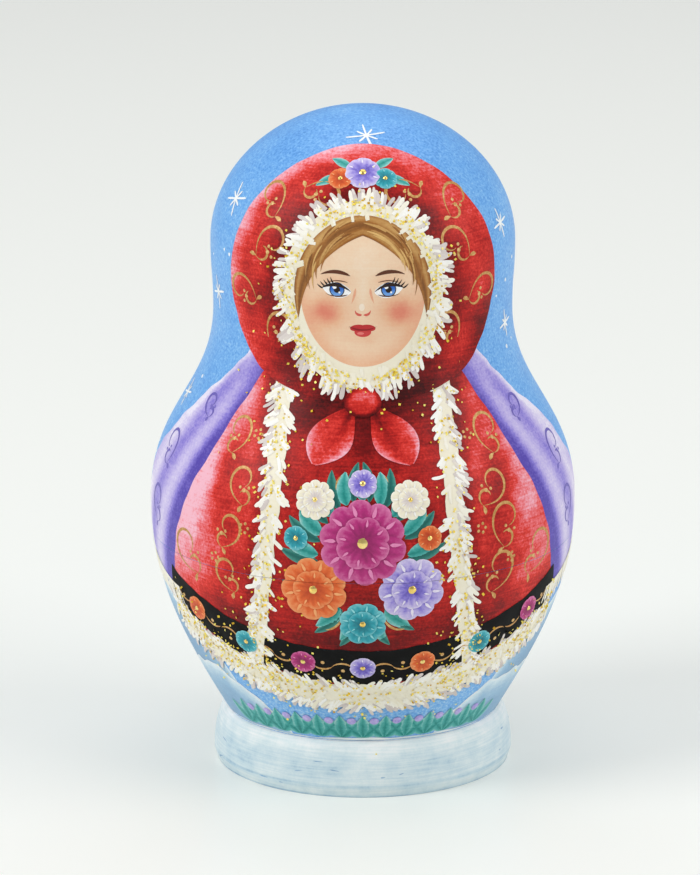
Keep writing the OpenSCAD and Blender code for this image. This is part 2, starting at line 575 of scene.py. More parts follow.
    def skin(self, i: int, low: float, high: float) -> Array:
        """Outside of one doll between two heights, with a point at each of them.

        Args:
            i: Doll, counted inwards from 0.
            low: Lower height above the doll's base.
            high: Upper height.

        Returns:
            The (radius, height) points from low to high.
        """
        spots = self.points * self.size(i)
        ends = [(np.interp(z, spots[:, 1], spots[:, 0]), z) for z in (low, high)]
        inside = spots[(spots[:, 1] > low + TINY) & (spots[:, 1] < high - TINY)]
        return np.vstack([ends[0], inside, ends[1]])

    def section(self, i: int, half: Half) -> list[tuple[Array, Finish]]:
        """Half section of one turned piece, from axis to axis, with the outside running upwards.

        Args:
            i: Doll, counted inwards from 0.
            half: Which piece of it.

        Returns:
            Runs of (radius, height) points above the doll's base, each with its finish.
            Each run starts where the last one ends.
        """
        k, near = self.size(i), self.size(i + 1)
        seam, top, groove = self.seam_z * k, (self.seam_z + self.spigot_h) * k, self.groove_z * k
        foot = self.skin(i, 0, groove)
        below = [(np.array([(0, 0), (0.5 * foot[0, 0], 0), foot[0]]), LINDEN), (foot, FOOT_WASH)]
        if half is Half.WHOLE:
            return [*below, (self.skin(i, groove, self.doll_h * k), SKY)]
        floor = self.floor(i)
        held = floor + self.stand_gap
        held_radii = (self.belly_r, self.head_r, self.foot_r)
        mouth, bore, heel = (r * near + self.nest_gap for r in held_radii)
        spigot, socket = mouth + self.spigot_wall, mouth + self.spigot_wall + self.fit_gap
        rim = (self.skin(i, seam, top)[0, 0] - self.seam_bevel, seam)
        if half is Half.BOTTOM:
            side = np.vstack([self.skin(i, groove, seam - self.seam_bevel), rim])
            bowl_top = min(held + self.belly_z * near, top)
            bowl = self.upright(heel, floor, mouth, bowl_top, self.bowl_shares, 40)[::-1]
            inside = np.vstack([
                rim, (0.5 * (rim[0] + spigot), seam), (spigot, seam),
                (spigot, top - self.lead_bevel), (spigot - self.lead_bevel, top),
                (mouth, top), (mouth, bowl_top + 0.001), bowl,
                (0.6 * heel, floor), (0.3 * heel, floor), (0, floor),
            ])
            return [*below, (side, SKY), (inside, LINDEN)]
        side = np.vstack([rim, self.skin(i, seam + self.seam_bevel, self.doll_h * k)])
        neck, head, roof = (held + z * near for z in (self.neck_z, self.head_z, self.doll_h))
        end = top + self.seat_gap
        hollow = np.vstack([
            self.dome(bore, head, roof + self.roof_gap, 32)[::-1],
            self.upright(mouth, end, bore, neck, self.shoulder_shares, 28)[::-1],
            (socket, end), (socket, seam), rim,
        ])
        return [(hollow, LINDEN), (side, SKY)]


@dataclass
class Patch:
    """Painted shapes of one finish: arrays of shapes, columns and rows on the canvas."""

    finish: Finish
    theta: Array
    s: Array
    lift: Array
    shade: Array


@dataclass
class Canvas:
    """Collects painted shapes on the outer doll's outside, group by group.

    Attributes:
        turning: The outside that carries the paint.
        detail: Share of the full number of brush strokes.
        seed: Seed of the hand's unsteadiness.
        patches: Shapes laid so far.
        rng: The hand's unsteadiness.
    """

    turning: Turning
    detail: float
    seed: int
    patches: dict[Group, list[Patch]] = field(init=False)
    rng: np.random.Generator = field(init=False)

    def __post_init__(self) -> None:
        """Starts empty with a seeded hand."""
        self.patches = {group: [] for group in Group}
        self.rng = np.random.default_rng(self.seed)

    def meshes(self, group: Group) -> tuple[Array, Array, Array, Array, list[Finish]]:
        """Joins a group's shapes into arrays for one mesh.

        Args:
            group: Which painted layer.

        Returns:
            Points, quads, shades, finish number of each quad, and the finishes. Quads that
            face the wood are turned over.
        """
        points, quads, shades, numbers, finishes, offset = [], [], [], [], [], 0
        for patch in self.patches[group]:
            spot, normal = self.turning.place(patch.theta, patch.s, patch.lift)
            i = np.arange(patch.theta.size).reshape(patch.theta.shape)
            corners = (i[:, :-1, :-1], i[:, 1:, :-1], i[:, 1:, 1:], i[:, :-1, 1:])
            quad = np.stack(corners, axis=-1).reshape(-1, 4)
            flat, out = spot.reshape(-1, 3), normal.reshape(-1, 3)
            a, b, c, d = (flat[quad[:, corner]] for corner in range(4))
            away = np.einsum("ij,ij->i", np.cross(c - a, d - b), out[quad[:, 0]]) < 0
            quad[away] = quad[away][:, ::-1]
            if patch.finish not in finishes:
                finishes.append(patch.finish)
            points.append(flat)
            quads.append(quad + offset)
            shades.append(patch.shade.reshape(-1))
            numbers.append(np.full(len(quad), finishes.index(patch.finish)))
            offset += len(flat)
        joined = [np.concatenate(x) for x in (points, quads, shades, numbers)]
        return *joined, finishes


@dataclass
class Painter:
    """A brush on one layer of a canvas. Each part of the picture is a painter of its own.

    Attributes:
        canvas: What it paints on.
        group: The layer.
    """

    canvas: Canvas
    group: ClassVar[Group]

    def paint(self) -> None:
        """Lays this painter's part of the picture."""
        raise NotImplementedError

    @property
    def rng(self) -> np.random.Generator:
        """The hand's unsteadiness."""
        return self.canvas.rng

    def count(self, full: int) -> int:
        """Number of strokes that this doll gets of a full number."""
        return max(3, round(full * self.canvas.detail))

    def along(self, z: Array | float) -> Array:
        """Length along the profile at a height."""
        return self.canvas.turning.along(z)

    def radius(self, s: Array | float) -> Array:
        """Radius at a length along the profile."""
        return self.canvas.turning.radius(s)

    def flat(self, angle: float, z: float, a: Array, b: Array) -> tuple[Array, Array]:
        """Wraps flat millimetres a (rightwards) and b (upwards) about a spot.

        Args:
            angle: Angle of the spot in degrees.
            z: Height of the spot.
            a: Millimetres to the right.
            b: Millimetres up along the profile.

        Returns:
            Angles and lengths along the profile.
        """
        s0 = self.along(z)
        return math.radians(angle) + a / self.radius(s0), s0 + b

    def sheet(
        self, finish: Finish, theta: Array, s: Array, lift: Array | float, shade: Array | float,
    ) -> None:
        """Lays one or many grids of paint.

        Args:
            finish: Its paint.
            theta: Angles, with last axes columns (rightwards) and rows (upwards).
            s: Lengths along the profile.
            lift: Heights over the wood in millimetres.
            shade: Shades from 0, dark, to 1, light.
        """
        whole = np.broadcast_arrays(theta, s, lift + np.float64(LIFTS[self.group]), shade)
        shape = (-1, *whole[0].shape[-2:])
        patch = Patch(finish, *(np.array(w, float).reshape(shape) for w in whole))
        self.canvas.patches[self.group].append(patch)

    def dab(
        self, finish: Finish, z: float, a: float, b: float, wide: float, high: float, lift: float,
        shade: Array | float, count: int = 9, crown: float = 0.0, turn: float = 0.0,
    ) -> None:
        """Oval dab of paint: a disc stretched to half sizes, turned, and crowned as 1 - rho^2.

        Args:
            finish: Its paint.
            z: Height of the spot in front that it is placed from.
            a: Millimetres to the right of that spot.
            b: Millimetres up from it along the profile.
            wide: Half width in millimetres.
            high: Half height in millimetres.
            lift: Lift of the rim.
            shade: Its shade.
            count: Points along each side of the grid.
            crown: Height of the middle over the rim.
            turn: Turn of the oval in radians.
        """
        rho, phi = disc(count)
        x, y = wide * rho * np.cos(phi), high * rho * np.sin(phi)
        c, s = math.cos(turn), math.sin(turn)
        theta, along = self.flat(0, z, a + x * c - y * s, b + x * s + y * c)
        self.sheet(finish, theta, along, lift + crown * (1 - rho**2), shade)

    def dots(
        self, finish: Finish, theta: Array, s: Array, radius: Array | float, lift: float,
        height: float, shade: Array | float,
    ) -> None:
        """Raised round dots: discs of 16 faces whose lift falls as 1 - rho^2.

        Args:
            finish: Their paint.
            theta: Angle of each dot.
            s: Length along the profile of each dot.
            radius: Radius of each dot in millimetres.
            lift: Lift of the rims.
            height: Height of the middles over the rims.
            shade: Shade of each dot.
        """
        rho, phi = disc(5)
        theta, s, radius, shade = (per_shape(x, theta) for x in (theta, s, radius, shade))
        a, b = radius * rho * np.cos(phi), radius * rho * np.sin(phi)
        dome = lift + height * (1 - rho**2)
        self.sheet(finish, theta + a / self.radius(s), s + b, dome, shade)

    def strokes(
        self, finish: Finish, theta: Array, s: Array, heading: Array | float,
        length: Array | float, width: Array | float, lift: Array | float, shade: Array | float,
        bend: Array | float = 0.0, curl: float = 1.0, swell: float = 0.6, ridge: float = 0.03,
        rows: int = 6, columns: int = 3, tip: Tip = Tip.POINTED,
    ) -> None:
        """Brush strokes, each a strip along a bending line.

        The line leaves its base at a heading and turns by bend times t^curl along t = 0 to 1.
        A pointed stroke's width follows sin(pi t^swell), so a small swell is thick near the
        base. A blunt one widens a little and ends round, as sqrt(1 - t^6). The middle stands
        up as a ridge.

        Args:
            finish: Their paint.
            theta: Angle of each base.
            s: Length along the profile of each base.
            heading: Direction of each base, in radians from rightwards.
            length: Length of each stroke in millimetres.
            width: Greatest width of each stroke in millimetres.
            lift: Lift of the edges.
            shade: Shade of each stroke, or an array of strokes, columns and rows.
            bend: Whole turn along each stroke, in radians.
            curl: Power that gathers the turn at the tip.
            swell: Power that moves the thick part.
            ridge: Height of the middle.
            rows: Points along a stroke.
            columns: Points across a stroke.
            tip: How it ends.
        """
        spot = np.atleast_1d(np.asarray(theta, float))
        theta, s, heading, length, width, lift, bend = (
            per_shape(x, spot) for x in (spot, s, heading, length, width, lift, bend)
        )
        c, t = ribbon(columns, rows)
        t = np.sin(0.5 * np.pi * t) if tip is Tip.BLUNT else t
        angle = heading + bend * t**curl
        step = length * np.diff(t, axis=-1)
        middle = 0.5 * (angle[..., 1:] + angle[..., :-1])
        start = np.zeros((len(spot), 1, 1))
        x = np.concatenate([start, np.cumsum(np.cos(middle) * step, axis=-1)], axis=-1)
        y = np.concatenate([start, np.cumsum(np.sin(middle) * step, axis=-1)], axis=-1)
        if tip is Tip.BLUNT:
            body = 0.04 + 0.96 * (0.72 + 0.28 * t) * np.sqrt(1 - t**6)
        else:
            body = 0.06 + 0.94 * np.sin(np.pi * np.clip(t, 0.004, 0.996) ** swell) ** 0.8
        half = 0.5 * width * body
        a = x + np.sin(angle) * half * c
        b = y - np.cos(angle) * half * c
        if np.ndim(shade) != 3:
            shade = per_shape(shade, spot)
        rise = lift + ridge * (1 - c**2) * body
        self.sheet(finish, theta + a / self.radius(s), s + b, rise, shade)


@dataclass
class WinterScene(Painter):
    """Snow drifts, firs, snowflakes and snow dots on the blue, and the white of the foot.

    Attributes:
        drifts: Angle, half width in degrees, height of the crest and seed of each snow bank.
        firs: Angle, height of the lowest bough and length of each tree.
        flakes: Angle, height and reach of each snowflake.
        snow_count: Full number of snow dots.
        snow_z: Heights between which they fall.
        rim_high: Middle width of the white band over the groove.
        scuff_count: Full number of rubbed spots.
        scuff_z: Heights between which they lie.
        bough_count: Full number of boughs on a tree.
    """

    group: ClassVar[Group] = Group.SCENE
    drifts: tuple = (
        (84, 40, 31, 0.3), (-86, 42, 34, 1.1), (128, 46, 25, 2.0), (-130, 44, 27, 2.9),
        (180, 62, 20, 4.0), (64, 34, 19, 5.2), (-66, 36, 20, 6.1),
    )
    firs: tuple = ((150, 24, 24), (181, 18, 35), (-148, 25, 27), (118, 24, 15))
    flakes: tuple = (
        (3, 107.6, 3.3), (-64, 97, 3.0), (66, 93, 2.6), (-72, 81, 2.8), (70, 76, 2.4),
        (-84, 63, 2.6), (110, 84, 3.0), (145, 97, 2.8), (180, 88, 3.4), (-150, 80, 2.7),
        (-118, 94, 3.0), (165, 66, 2.5), (-112, 70, 2.6), (118, 58, 2.6), (-160, 58, 2.4),
        (100, 43, 2.2), (-92, 45, 2.3),
    )
    snow_count: int = 150
    snow_z: tuple = (36, 104)
    rim_high: float = 0.62
    scuff_count: int = 34
    scuff_z: tuple = (0.9, 6.5)
    bough_count: int = 90

    def paint(self) -> None:
        """Lays the scene from the ground up."""
        for layer, drift in enumerate(self.drifts):
            self.drift(layer, *drift)
        for fir in self.firs:
            self.fir(*fir)
        for flake in self.flakes:
            self.snowflake(*flake)
        self.snow()
        self.rim()
        self.scuffs()

    def snow(self) -> None:
        """White dots strewn over the blue."""
        n = self.count(self.snow_count)
        theta = np.radians(self.rng.uniform(-180, 180, n))
        s = self.along(self.rng.uniform(*self.snow_z, n))
        self.dots(SNOW, theta, s, self.rng.uniform(0.15, 0.36, n), 0.015, 0.05, 1.0)

    def rim(self) -> None:
        """White of the foot brushed past the groove: a band with a wavering upper line."""
        u, v = grid(241, 7, -np.pi, np.pi)
        wave = 0.16 * np.sin(4 * u + 1) + 0.11 * np.sin(9 * u + 2) + 0.07 * np.sin(23 * u)
        z = self.canvas.turning.groove_z - 0.04 + (self.rim_high + wave) * v
        self.sheet(FOOT_WASH, u, self.along(z), 0.055, 0.86 - 0.1 * v)

    def scuffs(self) -> None:
        """Rubbed spots on the foot: short level dashes of blue where the white is thin."""
        n = self.count(self.scuff_count)
        theta = self.rng.uniform(-np.pi, np.pi, n)
        s = self.along(self.rng.uniform(*self.scuff_z, n))
        heading = self.rng.normal(0, 0.12, n)
        length = self.rng.uniform(0.5, 2.4, n)
        width = self.rng.uniform(0.12, 0.26, n)
        self.strokes(SNOW, theta, s, heading, length, width, 0.02, self.rng.uniform(0.0, 0.4, n))

    def drift(self, layer: int, angle: float, wide: float, top: float, seed: float) -> None:
        """Snow bank: its top edge is a bowed line, white there and fading to blue below.

        Args:
            layer: Its place in the pile, counted from the back.
            angle: Angle of its middle in degrees.
            wide: Half width in degrees.
            top: Height of its crest.
            seed: Seed of the wavering edge.
        """
        u, v = grid(60, 16)
        low = self.canvas.turning.groove_z + 0.3
        crest = low + (top - low) * np.cos(u * np.pi / 2) ** 0.55 + waver(3 * u, 0.9, seed)
        crest = np.maximum(crest, low + 0.2)
        z = low + (crest - low) * v
        shade = 0.95 * np.exp(-(crest - z) / 3.6) + 0.10 * (1 - v)
        self.sheet(SNOW, np.radians(angle + wide * u), self.along(z), 0.01 + 0.006 * layer, shade)

    def fir(self, angle: float, foot: float, tall: float) -> None:
        """Fir tree: drooping strokes that lengthen from the tip down, then snow on their ends.

        Args:
            angle: Angle of the trunk in degrees.
            foot: Height of the lowest bough.
            tall: Length from there to the tip.
        """
        n = self.count(self.bough_count)
        share = np.linspace(0.02, 1, n)
        side = in_turn(n)
        reach = (0.8 + 0.32 * tall * share) * self.rng.uniform(0.8, 1.1, n)
        theta = np.full(n, math.radians(angle))
        heading = np.where(side > 0, -0.55, np.pi + 0.55) + self.rng.normal(0, 0.12, n)
        s = self.along(foot + tall * (1 - share))
        lift = 0.05 + 0.0004 * np.arange(n)[::-1]
        trunk, leader = self.along(np.array([[foot - 0.19 * tall], [foot + 0.93 * tall]]))
        up = np.pi / 2
        self.strokes(INK, theta[:1], trunk, up, 0.3 * tall, 0.06 * tall, 0.04, 0.6, tip=Tip.BLUNT)
        self.strokes(FIR, theta[:1], leader, up, 0.11 * tall, 0.05 * tall, 0.10, 0.4)
        shade = self.rng.uniform(0.1, 0.8, n)
        self.strokes(FIR, theta, s, heading, reach, 0.07 * tall + 0.2, lift, shade,
                     bend=-0.5 * side, swell=0.8)
        front = -up + self.rng.normal(0, 0.38, n)
        shade = self.rng.uniform(0.2, 0.9, n)
        self.strokes(FIR, theta, s, front, 0.46 * reach, 0.05 * tall + 0.2, lift + 0.01, shade,
                     swell=0.8)
        tip = 0.62 * reach
        theta = theta + tip * np.cos(heading) / self.radius(s)
        s = s + tip * np.sin(heading) + 0.25
        self.strokes(SNOW, theta, s, heading, 0.4 * reach, 0.7, lift + 0.05, 1.0, bend=-0.5 * side)

    def snowflake(self, angle: float, z: float, reach: float) -> None:
        """Eight strokes from one spot, long and short in turn.

        Args:
            angle: Angle of the spot in degrees.
            z: Height of the spot.
            reach: Length of the long strokes.
        """
        order = np.arange(8)
        theta, s = self.flat(angle, z, 0.0 * order, 0.0 * order)
        length = reach * np.where(order % 2, 0.6, 1.0)
        self.strokes(SNOW, theta, s, order * np.pi / 4 + 0.2, length, 0.42, 0.05, 1.0,
                     ridge=0.05, tip=Tip.BLUNT)


@dataclass
class Dress(Painter):
    """Red dress with an apron front, a black border over its hem, and a lilac shawl.

    Attributes:
        edge_z: Heights at which the dress's half angle is given.
        edge_angle: Half angle of the dress at those heights, in degrees.
        top_z: Height of its upper edge, which the headscarf covers.
        hem_z: Height of the hem in front.
        hem_rise: How far the hem rises towards the sides.
        apron_z: Heights of the apron's lower and upper ends.
        apron_half: Half widths of the apron there, in millimetres.
        border: Lower and upper edges of the black border over the hem.
        shawl_z: Heights of the shawl's lower and upper ends.
        shawl_bow: How far its lower edge rises outwards.
        shawl_tuck: How far it goes under the dress, in degrees.
        shawl_edge_z: Heights at which the shawl's outer angle is given.
        shawl_edge_angle: Outer angle of the shawl at those heights, in degrees.
    """

    group: ClassVar[Group] = Group.DRESS
    edge_z: tuple = (18.0, 30.0, 40.0, 50.0, 58.0, 66.0, 71.0, 76.0)
    edge_angle: tuple = (69.0, 67.0, 62.0, 56.0, 51.0, 45.0, 39.0, 28.0)
    top_z: float = 74.0
    hem_z: float = 18.5
    hem_rise: float = 10.0
    apron_z: tuple = (22.5, 70.0)
    apron_half: tuple = (18.5, 13.0)
    border: tuple = (2.6, 9.0)
    shawl_z: tuple = (33.0, 74.5)
    shawl_bow: float = 5.0
    shawl_tuck: float = 8.0
    shawl_edge_z: tuple = (32, 40, 52, 60, 68, 75)
    shawl_edge_angle: tuple = (82, 87, 86, 76, 60, 44)

    def edge(self, z: Array) -> Array:
        """Half angle of the dress at a height, in degrees."""
        return np.interp(z, self.edge_z, self.edge_angle)

    def shawl_edge(self, z: Array) -> Array:
        """Outer angle of the shawl at a height, in degrees."""
        return np.interp(z, self.shawl_edge_z, self.shawl_edge_angle)

    def hem(self, degrees: Array) -> Array:
        """Height of the hem: lowest in front, rising with the square of the angle."""
        return self.hem_z + self.hem_rise * (np.abs(degrees) / 66) ** 2

    def border_line(self, degrees: Array) -> Array:
        """Height of the middle of the black border."""
        return self.hem(degrees) + 0.5 * sum(self.border)

    def apron(self, z: Array) -> Array:
        """Half width of the apron at a height, in millimetres."""
        return np.interp(z, self.apron_z, self.apron_half)

    def paint(self) -> None:
        """Lays the clothes from the back layer to the front."""
        for side in SIDES:
            self.shawl(side)
        self.gown()
        self.band()

    def gown(self) -> None:
        """Front of the dress: a sheet between its two edges, from the hem to under the scarf.

        The apron's own red is darker, and painted shadow darkens the red beside the apron, over
        the border and under the scarf. Painted shade wavers in soft upright folds at the sides, the
        right side is a touch darker away from the light, and a painted highlight turns the outer
        edges rosy, more on the left.
        """
        u, v = grid(190, 96)
        corner = self.hem_z + self.hem_rise
        degrees = u * (self.edge(corner + (self.top_z - corner) * v) + waver(6 * v, 0.7, 2.0))
        low = self.hem(degrees)
        z = low + (self.top_z - low) * v
        s = self.along(z)
        theta = np.radians(degrees)
        a = np.abs(theta) * self.radius(s)
        out = a - self.apron(z)
        # Painted shade in the folds; the right side a touch darker, away from the light.
        painted_fold_shade = np.sin(0.50 * out + 0.6 + 0.05 * (50 - z)) * smooth(0, 5, out)
        shade = 0.61 + 0.12 * painted_fold_shade - 0.05 * u
        # Painted shadow beside the apron, then the apron's own darker red, then painted shadow over
        # the border and under the scarf.
        shade = shade - 0.30 * bell(out, 2.0, 2.4)
        shade = shade - (0.16 + 0.10 * bell(a, 0, 7)) * smooth(1.0, -2.0, out)
        shade = shade - 0.20 * bell(z - low, self.border[1] + 1.0, 2.6)
        shade = shade - 0.26 * bell(z, 68, 6.0) * smooth(26, 6, a)
        # Painted highlight along the outer edges, stronger on the left, towards the light.
        painted_edge_highlight = smooth(0.80, 1.0, np.abs(u)) * smooth(74, 60, z)
        shade = shade + (0.34 - 0.08 * np.sign(u)) * painted_edge_highlight
        self.sheet(RED, theta, s, 0.05, np.clip(shade, 0.02, 1))

    def band(self) -> None:
        """Black border: a band that follows the hem a little above it."""
        u, v = grid(150, 9)
        low, high = self.border
        rise = low + (high - low) * v + waver(8 * u, 0.18, 3.0)
        degrees = u * (self.edge(self.hem(64 * u) + rise) + 0.9)
        shade = 0.25 + 0.5 * smooth(0.85, 1.0, v) + 0.2 * smooth(0.12, 0, v)
        s = self.along(self.hem(degrees) + rise)
        self.sheet(BLACK, np.radians(degrees), s, 0.105, shade)

    def shawl(self, side: int) -> None:
        """Lilac shawl over one shoulder: a sheet from under the dress to a wavering outer edge.

        Args:
            side: -1 for the left, 1 for the right.
        """
        u, v = grid(46, 70, 0)
        low, high = self.shawl_z
        z = low + (high - low) * v + self.shawl_bow * (1 - v) * u**2
        inner = self.edge(z) - self.shawl_tuck
        outer = self.shawl_edge(z) + waver(9 * v, 1.2, side)
        degrees = inner + (outer - inner) * u
        share = (degrees - self.edge(z)) / 32
        # Painted shade in the folds and beside the dress's edge, and a painted highlight along the
        # outer edge.
        painted_fold_shade = np.sin(13 * share - 3.4 * (1 - v) + 0.4) * smooth(1.0, 0.75, v)
        shade = 0.62 + 0.25 * painted_fold_shade + 0.30 * smooth(0.84, 1, u) - 0.50 * bell(share, 0.02, 0.20)
        theta = side * np.radians(degrees)
        self.sheet(LILAC, theta, self.along(z), 0.03, np.clip(shade, 0.02, 1))


@dataclass
class Headscarf(Painter):
    """Red headscarf with its knot and two ends under the chin.

    Attributes:
        middle_z: Height of the middle of the face.
        wide: Half width on the head.
        rise: Length from the middle to the top edge.
        drop: Length from the middle to the lower edge.
        light: Angle round the rim of the side that catches the light, in radians.
        ends_z: Height of the root of the two ends.
        knot_z: Height of the middle of the knot.
    """

    group: ClassVar[Group] = Group.DRESS
    middle_z: float = 84.5
    wide: float = 25.0
    rise: float = 26.5
    drop: float = 17.5
    light: float = 2.2
    ends_z: float = 67.0
    knot_z: float = 67.3

    def paint(self) -> None:
        """Lays the cloth, then its ends and knot."""
        self.cloth()
        for side in SIDES:
            self.end(side)
        # Knot: painted shadow round its rim and a painted highlight over its upper half.
        rho, phi = disc(15)
        shade = 0.62 - 0.4 * smooth(0.6, 1, rho) + 0.2 * rho * np.sin(phi)
        self.dab(RED, self.knot_z, 0, 0, 3.0, 2.5, 0.20, shade, 15, crown=0.12)

    def on(self, a: Array | float, b: Array | float) -> tuple[Array, Array]:
        """Wraps millimetres right and up about the middle of the face."""
        return self.flat(0, self.middle_z, np.atleast_1d(a), np.atleast_1d(b))

    def cloth(self) -> None:
        """Cloth round the head: a disc stretched to unlike lengths above and below its middle.

        Painted shadow deepens it round the face, painted shade lies in the folds below it, and a
        painted highlight makes the rim rosy towards the light while painted shade deepens the rim
        on the far side.
        """
        rho, phi = disc(84)
        c, s = np.cos(phi), np.sin(phi)
        reach = np.where(s > 0, self.rise, self.drop)
        x = self.wide * rho * np.sign(c) * np.abs(c) ** 0.92 + waver(3 * phi, 0.25, 1.0) * rho
        y = reach * rho * np.sign(s) * np.abs(s) ** 0.95
        facing = np.cos(phi - self.light)
        # Painted shadow round the face, painted highlight and shade on the rim by its side to the
        # light, and painted shade in the folds below.
        shade = 0.57 - 0.34 * bell(np.hypot(x / 14.2, y / 15.8), 1.0, 0.26)
        shade = shade + 0.36 * smooth(0.84, 1.0, rho) * (0.45 + 0.55 * facing)
        shade = shade - 0.22 * smooth(0.78, 1.0, rho) * (0.5 - 0.5 * facing)
        painted_fold_shade = smooth(0.5, 0.9, rho) * smooth(0.4, -0.5, s)
        shade = shade + 0.08 * np.sin(7 * phi + 0.6) * painted_fold_shade
        # The lower rim stands up a little where it lies over the apron's edging.
        clear = smooth(1.0, 1.12, np.hypot(x / 15.6, y / 17.6)) * smooth(0.25, 0.5, np.abs(c))
        lift = 0.13 + 0.16 * clear * smooth(-0.50, -0.78, s)
        self.sheet(RED, *self.on(x, y), lift, np.clip(shade, 0.02, 1))

    def end(self, side: int) -> None:
        """One end of the scarf: a broad stroke, with painted shadow at its root and down one side,
        and a painted highlight along its edges.

        Args:
            side: -1 for the left, 1 for the right.
        """
        c, t = ribbon(11, 22)
        base = self.flat(0, self.ends_z, np.array([1.2 * side]), np.array([0.0]))
        # Painted shadow at the root and down one side, then a painted highlight along the edges.
        shade = 0.60 - 0.42 * bell(t, 0.0, 0.22) - 0.30 * bell(side * c, 0.25, 0.22) * (1 - t)
        shade = shade + 0.30 * smooth(0.55, 1.0, np.abs(c)) * smooth(0.25, 0.7, t)
        self.strokes(RED, *base, -np.pi / 2 + side * 0.62, 11.5, 6.6, 0.142, shade,
                     bend=-0.25 * side, swell=1.35, ridge=0.05, rows=22, columns=11)


@dataclass
class Face(Painter):
    """Calm doll's face with parted hair, on plain proportions: eyes at half height.

    Attributes:
        scarf: Headscarf round it.
        wide: Half width.
        high: Half height.
        eye_spot: Millimetres of each eye's middle outwards and up from the face's.
        hair_sweep: Angle from the parting to the end of each lock, in radians.
        hair_count: Full number of drawn hairs on each side.
    """

    group: ClassVar[Group] = Group.FACE
    scarf: Headscarf
    wide: float = 10.6
    high: float = 12.2
    eye_spot: tuple = (4.1, 0.9)
    hair_sweep: float = 1.95
    hair_count: int = 26

    def paint(self) -> None:
        """Lays the skin, hair, eyes, nose and lips."""
        self.skin()
        for side in SIDES:
            self.hair(side)
        for side in SIDES:
            self.eye(side)
        self.nose()
        self.mouth()

    def oval(self, size: Array, phi: Array, side: int = 1) -> tuple[Array, Array]:
        """Spots on ovals round the face, by size and angle."""
        return self.scarf.on(side * self.wide * size * np.cos(phi), self.high * size * np.sin(phi))

    def spot(
        self, finish: Finish, a: float, b: float, *rest: Array | float, **more: float
    ) -> None:
        """Small oval dab of paint at millimetres right and up from the face's middle."""
        self.dab(finish, self.scarf.middle_z, a, b, *rest, **more)

    def line(
        self, finish: Finish, side: int, a: float, b: float, heading: float, *rest: float,
        bend: float, **more: float,
    ) -> None:
        """Brush line that starts at a spot of the face and is mirrored on the left side."""
        base = self.scarf.on(a, b)
        self.strokes(finish, *base, mirrored(heading, side), *rest, bend=bend * side, **more)

    def skin(self) -> None:
        """Oval of flesh paint: rouge on the cheeks, painted shadow at the rim, under the brows and
        under the lower lip, and painted highlights on the forehead and down the nose.
        """
        rho, phi = disc(49)
        taper = 1 - 0.10 * np.clip(-np.sin(phi), 0, 1) ** 2
        x, y = self.wide * rho * np.cos(phi) * taper, self.high * rho * np.sin(phi)
        out = np.abs(x)
        # Painted highlight on the forehead, rouge on the cheeks, painted shadow at the rim, under
        # the brows and under the lower lip, and a painted highlight down the nose.
        shade = 0.74 - 0.20 * smooth(0.72, 1.0, rho) + 0.10 * bell(np.hypot(x, y - 6), 0, 4)
        shade = shade - 0.50 * bell(out, 6.0, 2.7) * bell(y, -2.9, 2.3)
        shade = shade - 0.12 * bell(out, 3.9, 2.2) * bell(y, 2.6, 0.9)
        shade = shade - 0.10 * bell(x, 0, 2.4) * bell(y, -7.2, 0.9)
        shade = shade + 0.10 * bell(x, 0, 0.9) * bell(y, 0.5, 3.0)
        self.sheet(FLESH, *self.scarf.on(x, y), 0.12, shade)

    def hairline(self, t: Array) -> Array:
        """Size of the oval on which the hair starts, along a lock from t = 0 at the parting."""
        bow = np.sin(np.pi * np.clip(0.80 * t + 0.22, 0, 1)) ** 0.8
        return 1.06 - 0.30 * bow - 0.06 * (1 - t)

    def hair(self, side: int) -> None:
        """Lock swept from the parting: a band from its bowed hairline to the rim, and hairs on it.

        Args:
            side: -1 for the left, 1 for the right.
        """
        t, v = grid(40, 9, 0)
        low = self.hairline(t)
        phi = np.pi / 2 - t * self.hair_sweep
        shade = 0.42 + 0.26 * np.sin(9 * v + 2.0 * t) + 0.15 * bell(t, 0.4, 0.25)
        shade = np.clip(shade - 0.3 * smooth(0.2, 0, v), 0, 1)
        self.sheet(HAIR, *self.oval(low + (1.06 - low) * v, phi, side), 0.142, shade)
        n = self.count(self.hair_count)
        start = self.rng.uniform(0.0, 0.55, n)
        depth = self.rng.uniform(0.15, 0.95, n)
        low = self.hairline(start)
        phi = np.pi / 2 - start * self.hair_sweep
        theta, s = self.oval(low + (1.04 - low) * depth, phi, side)
        length = self.rng.uniform(3.0, 6.0, n)
        lift = 0.15 + self.rng.uniform(0, 0.01, n)
        self.strokes(HAIR, theta, s, mirrored(phi - np.pi / 2 - 0.15, side), length, 0.32, lift,
                     self.rng.uniform(0.1, 1.0, n), bend=-0.65 * side, rows=8, ridge=0.02)

    def eye(self, side: int) -> None:
        """Almond white, blue iris, pupil, lights, lid lines, brow and lashes.

        Args:
            side: -1 for the left, 1 for the right.
        """
        a, b = self.eye_spot[0] * side, self.eye_spot[1]
        rho, phi = disc(15)
        x = 2.25 * rho * np.cos(phi)
        y = 1.30 * rho * np.sin(phi) * (1 - 0.35 * np.cos(phi) ** 2)
        almond = self.scarf.on(a + x, b + y + 0.12 * side * x)
        # The lid's painted shadow greys the top of the white.
        self.sheet(EYE_WHITE, *almond, 0.130, 1.0 - 0.5 * smooth(0.2, 1.2, y))
        ring, turn = disc(11)
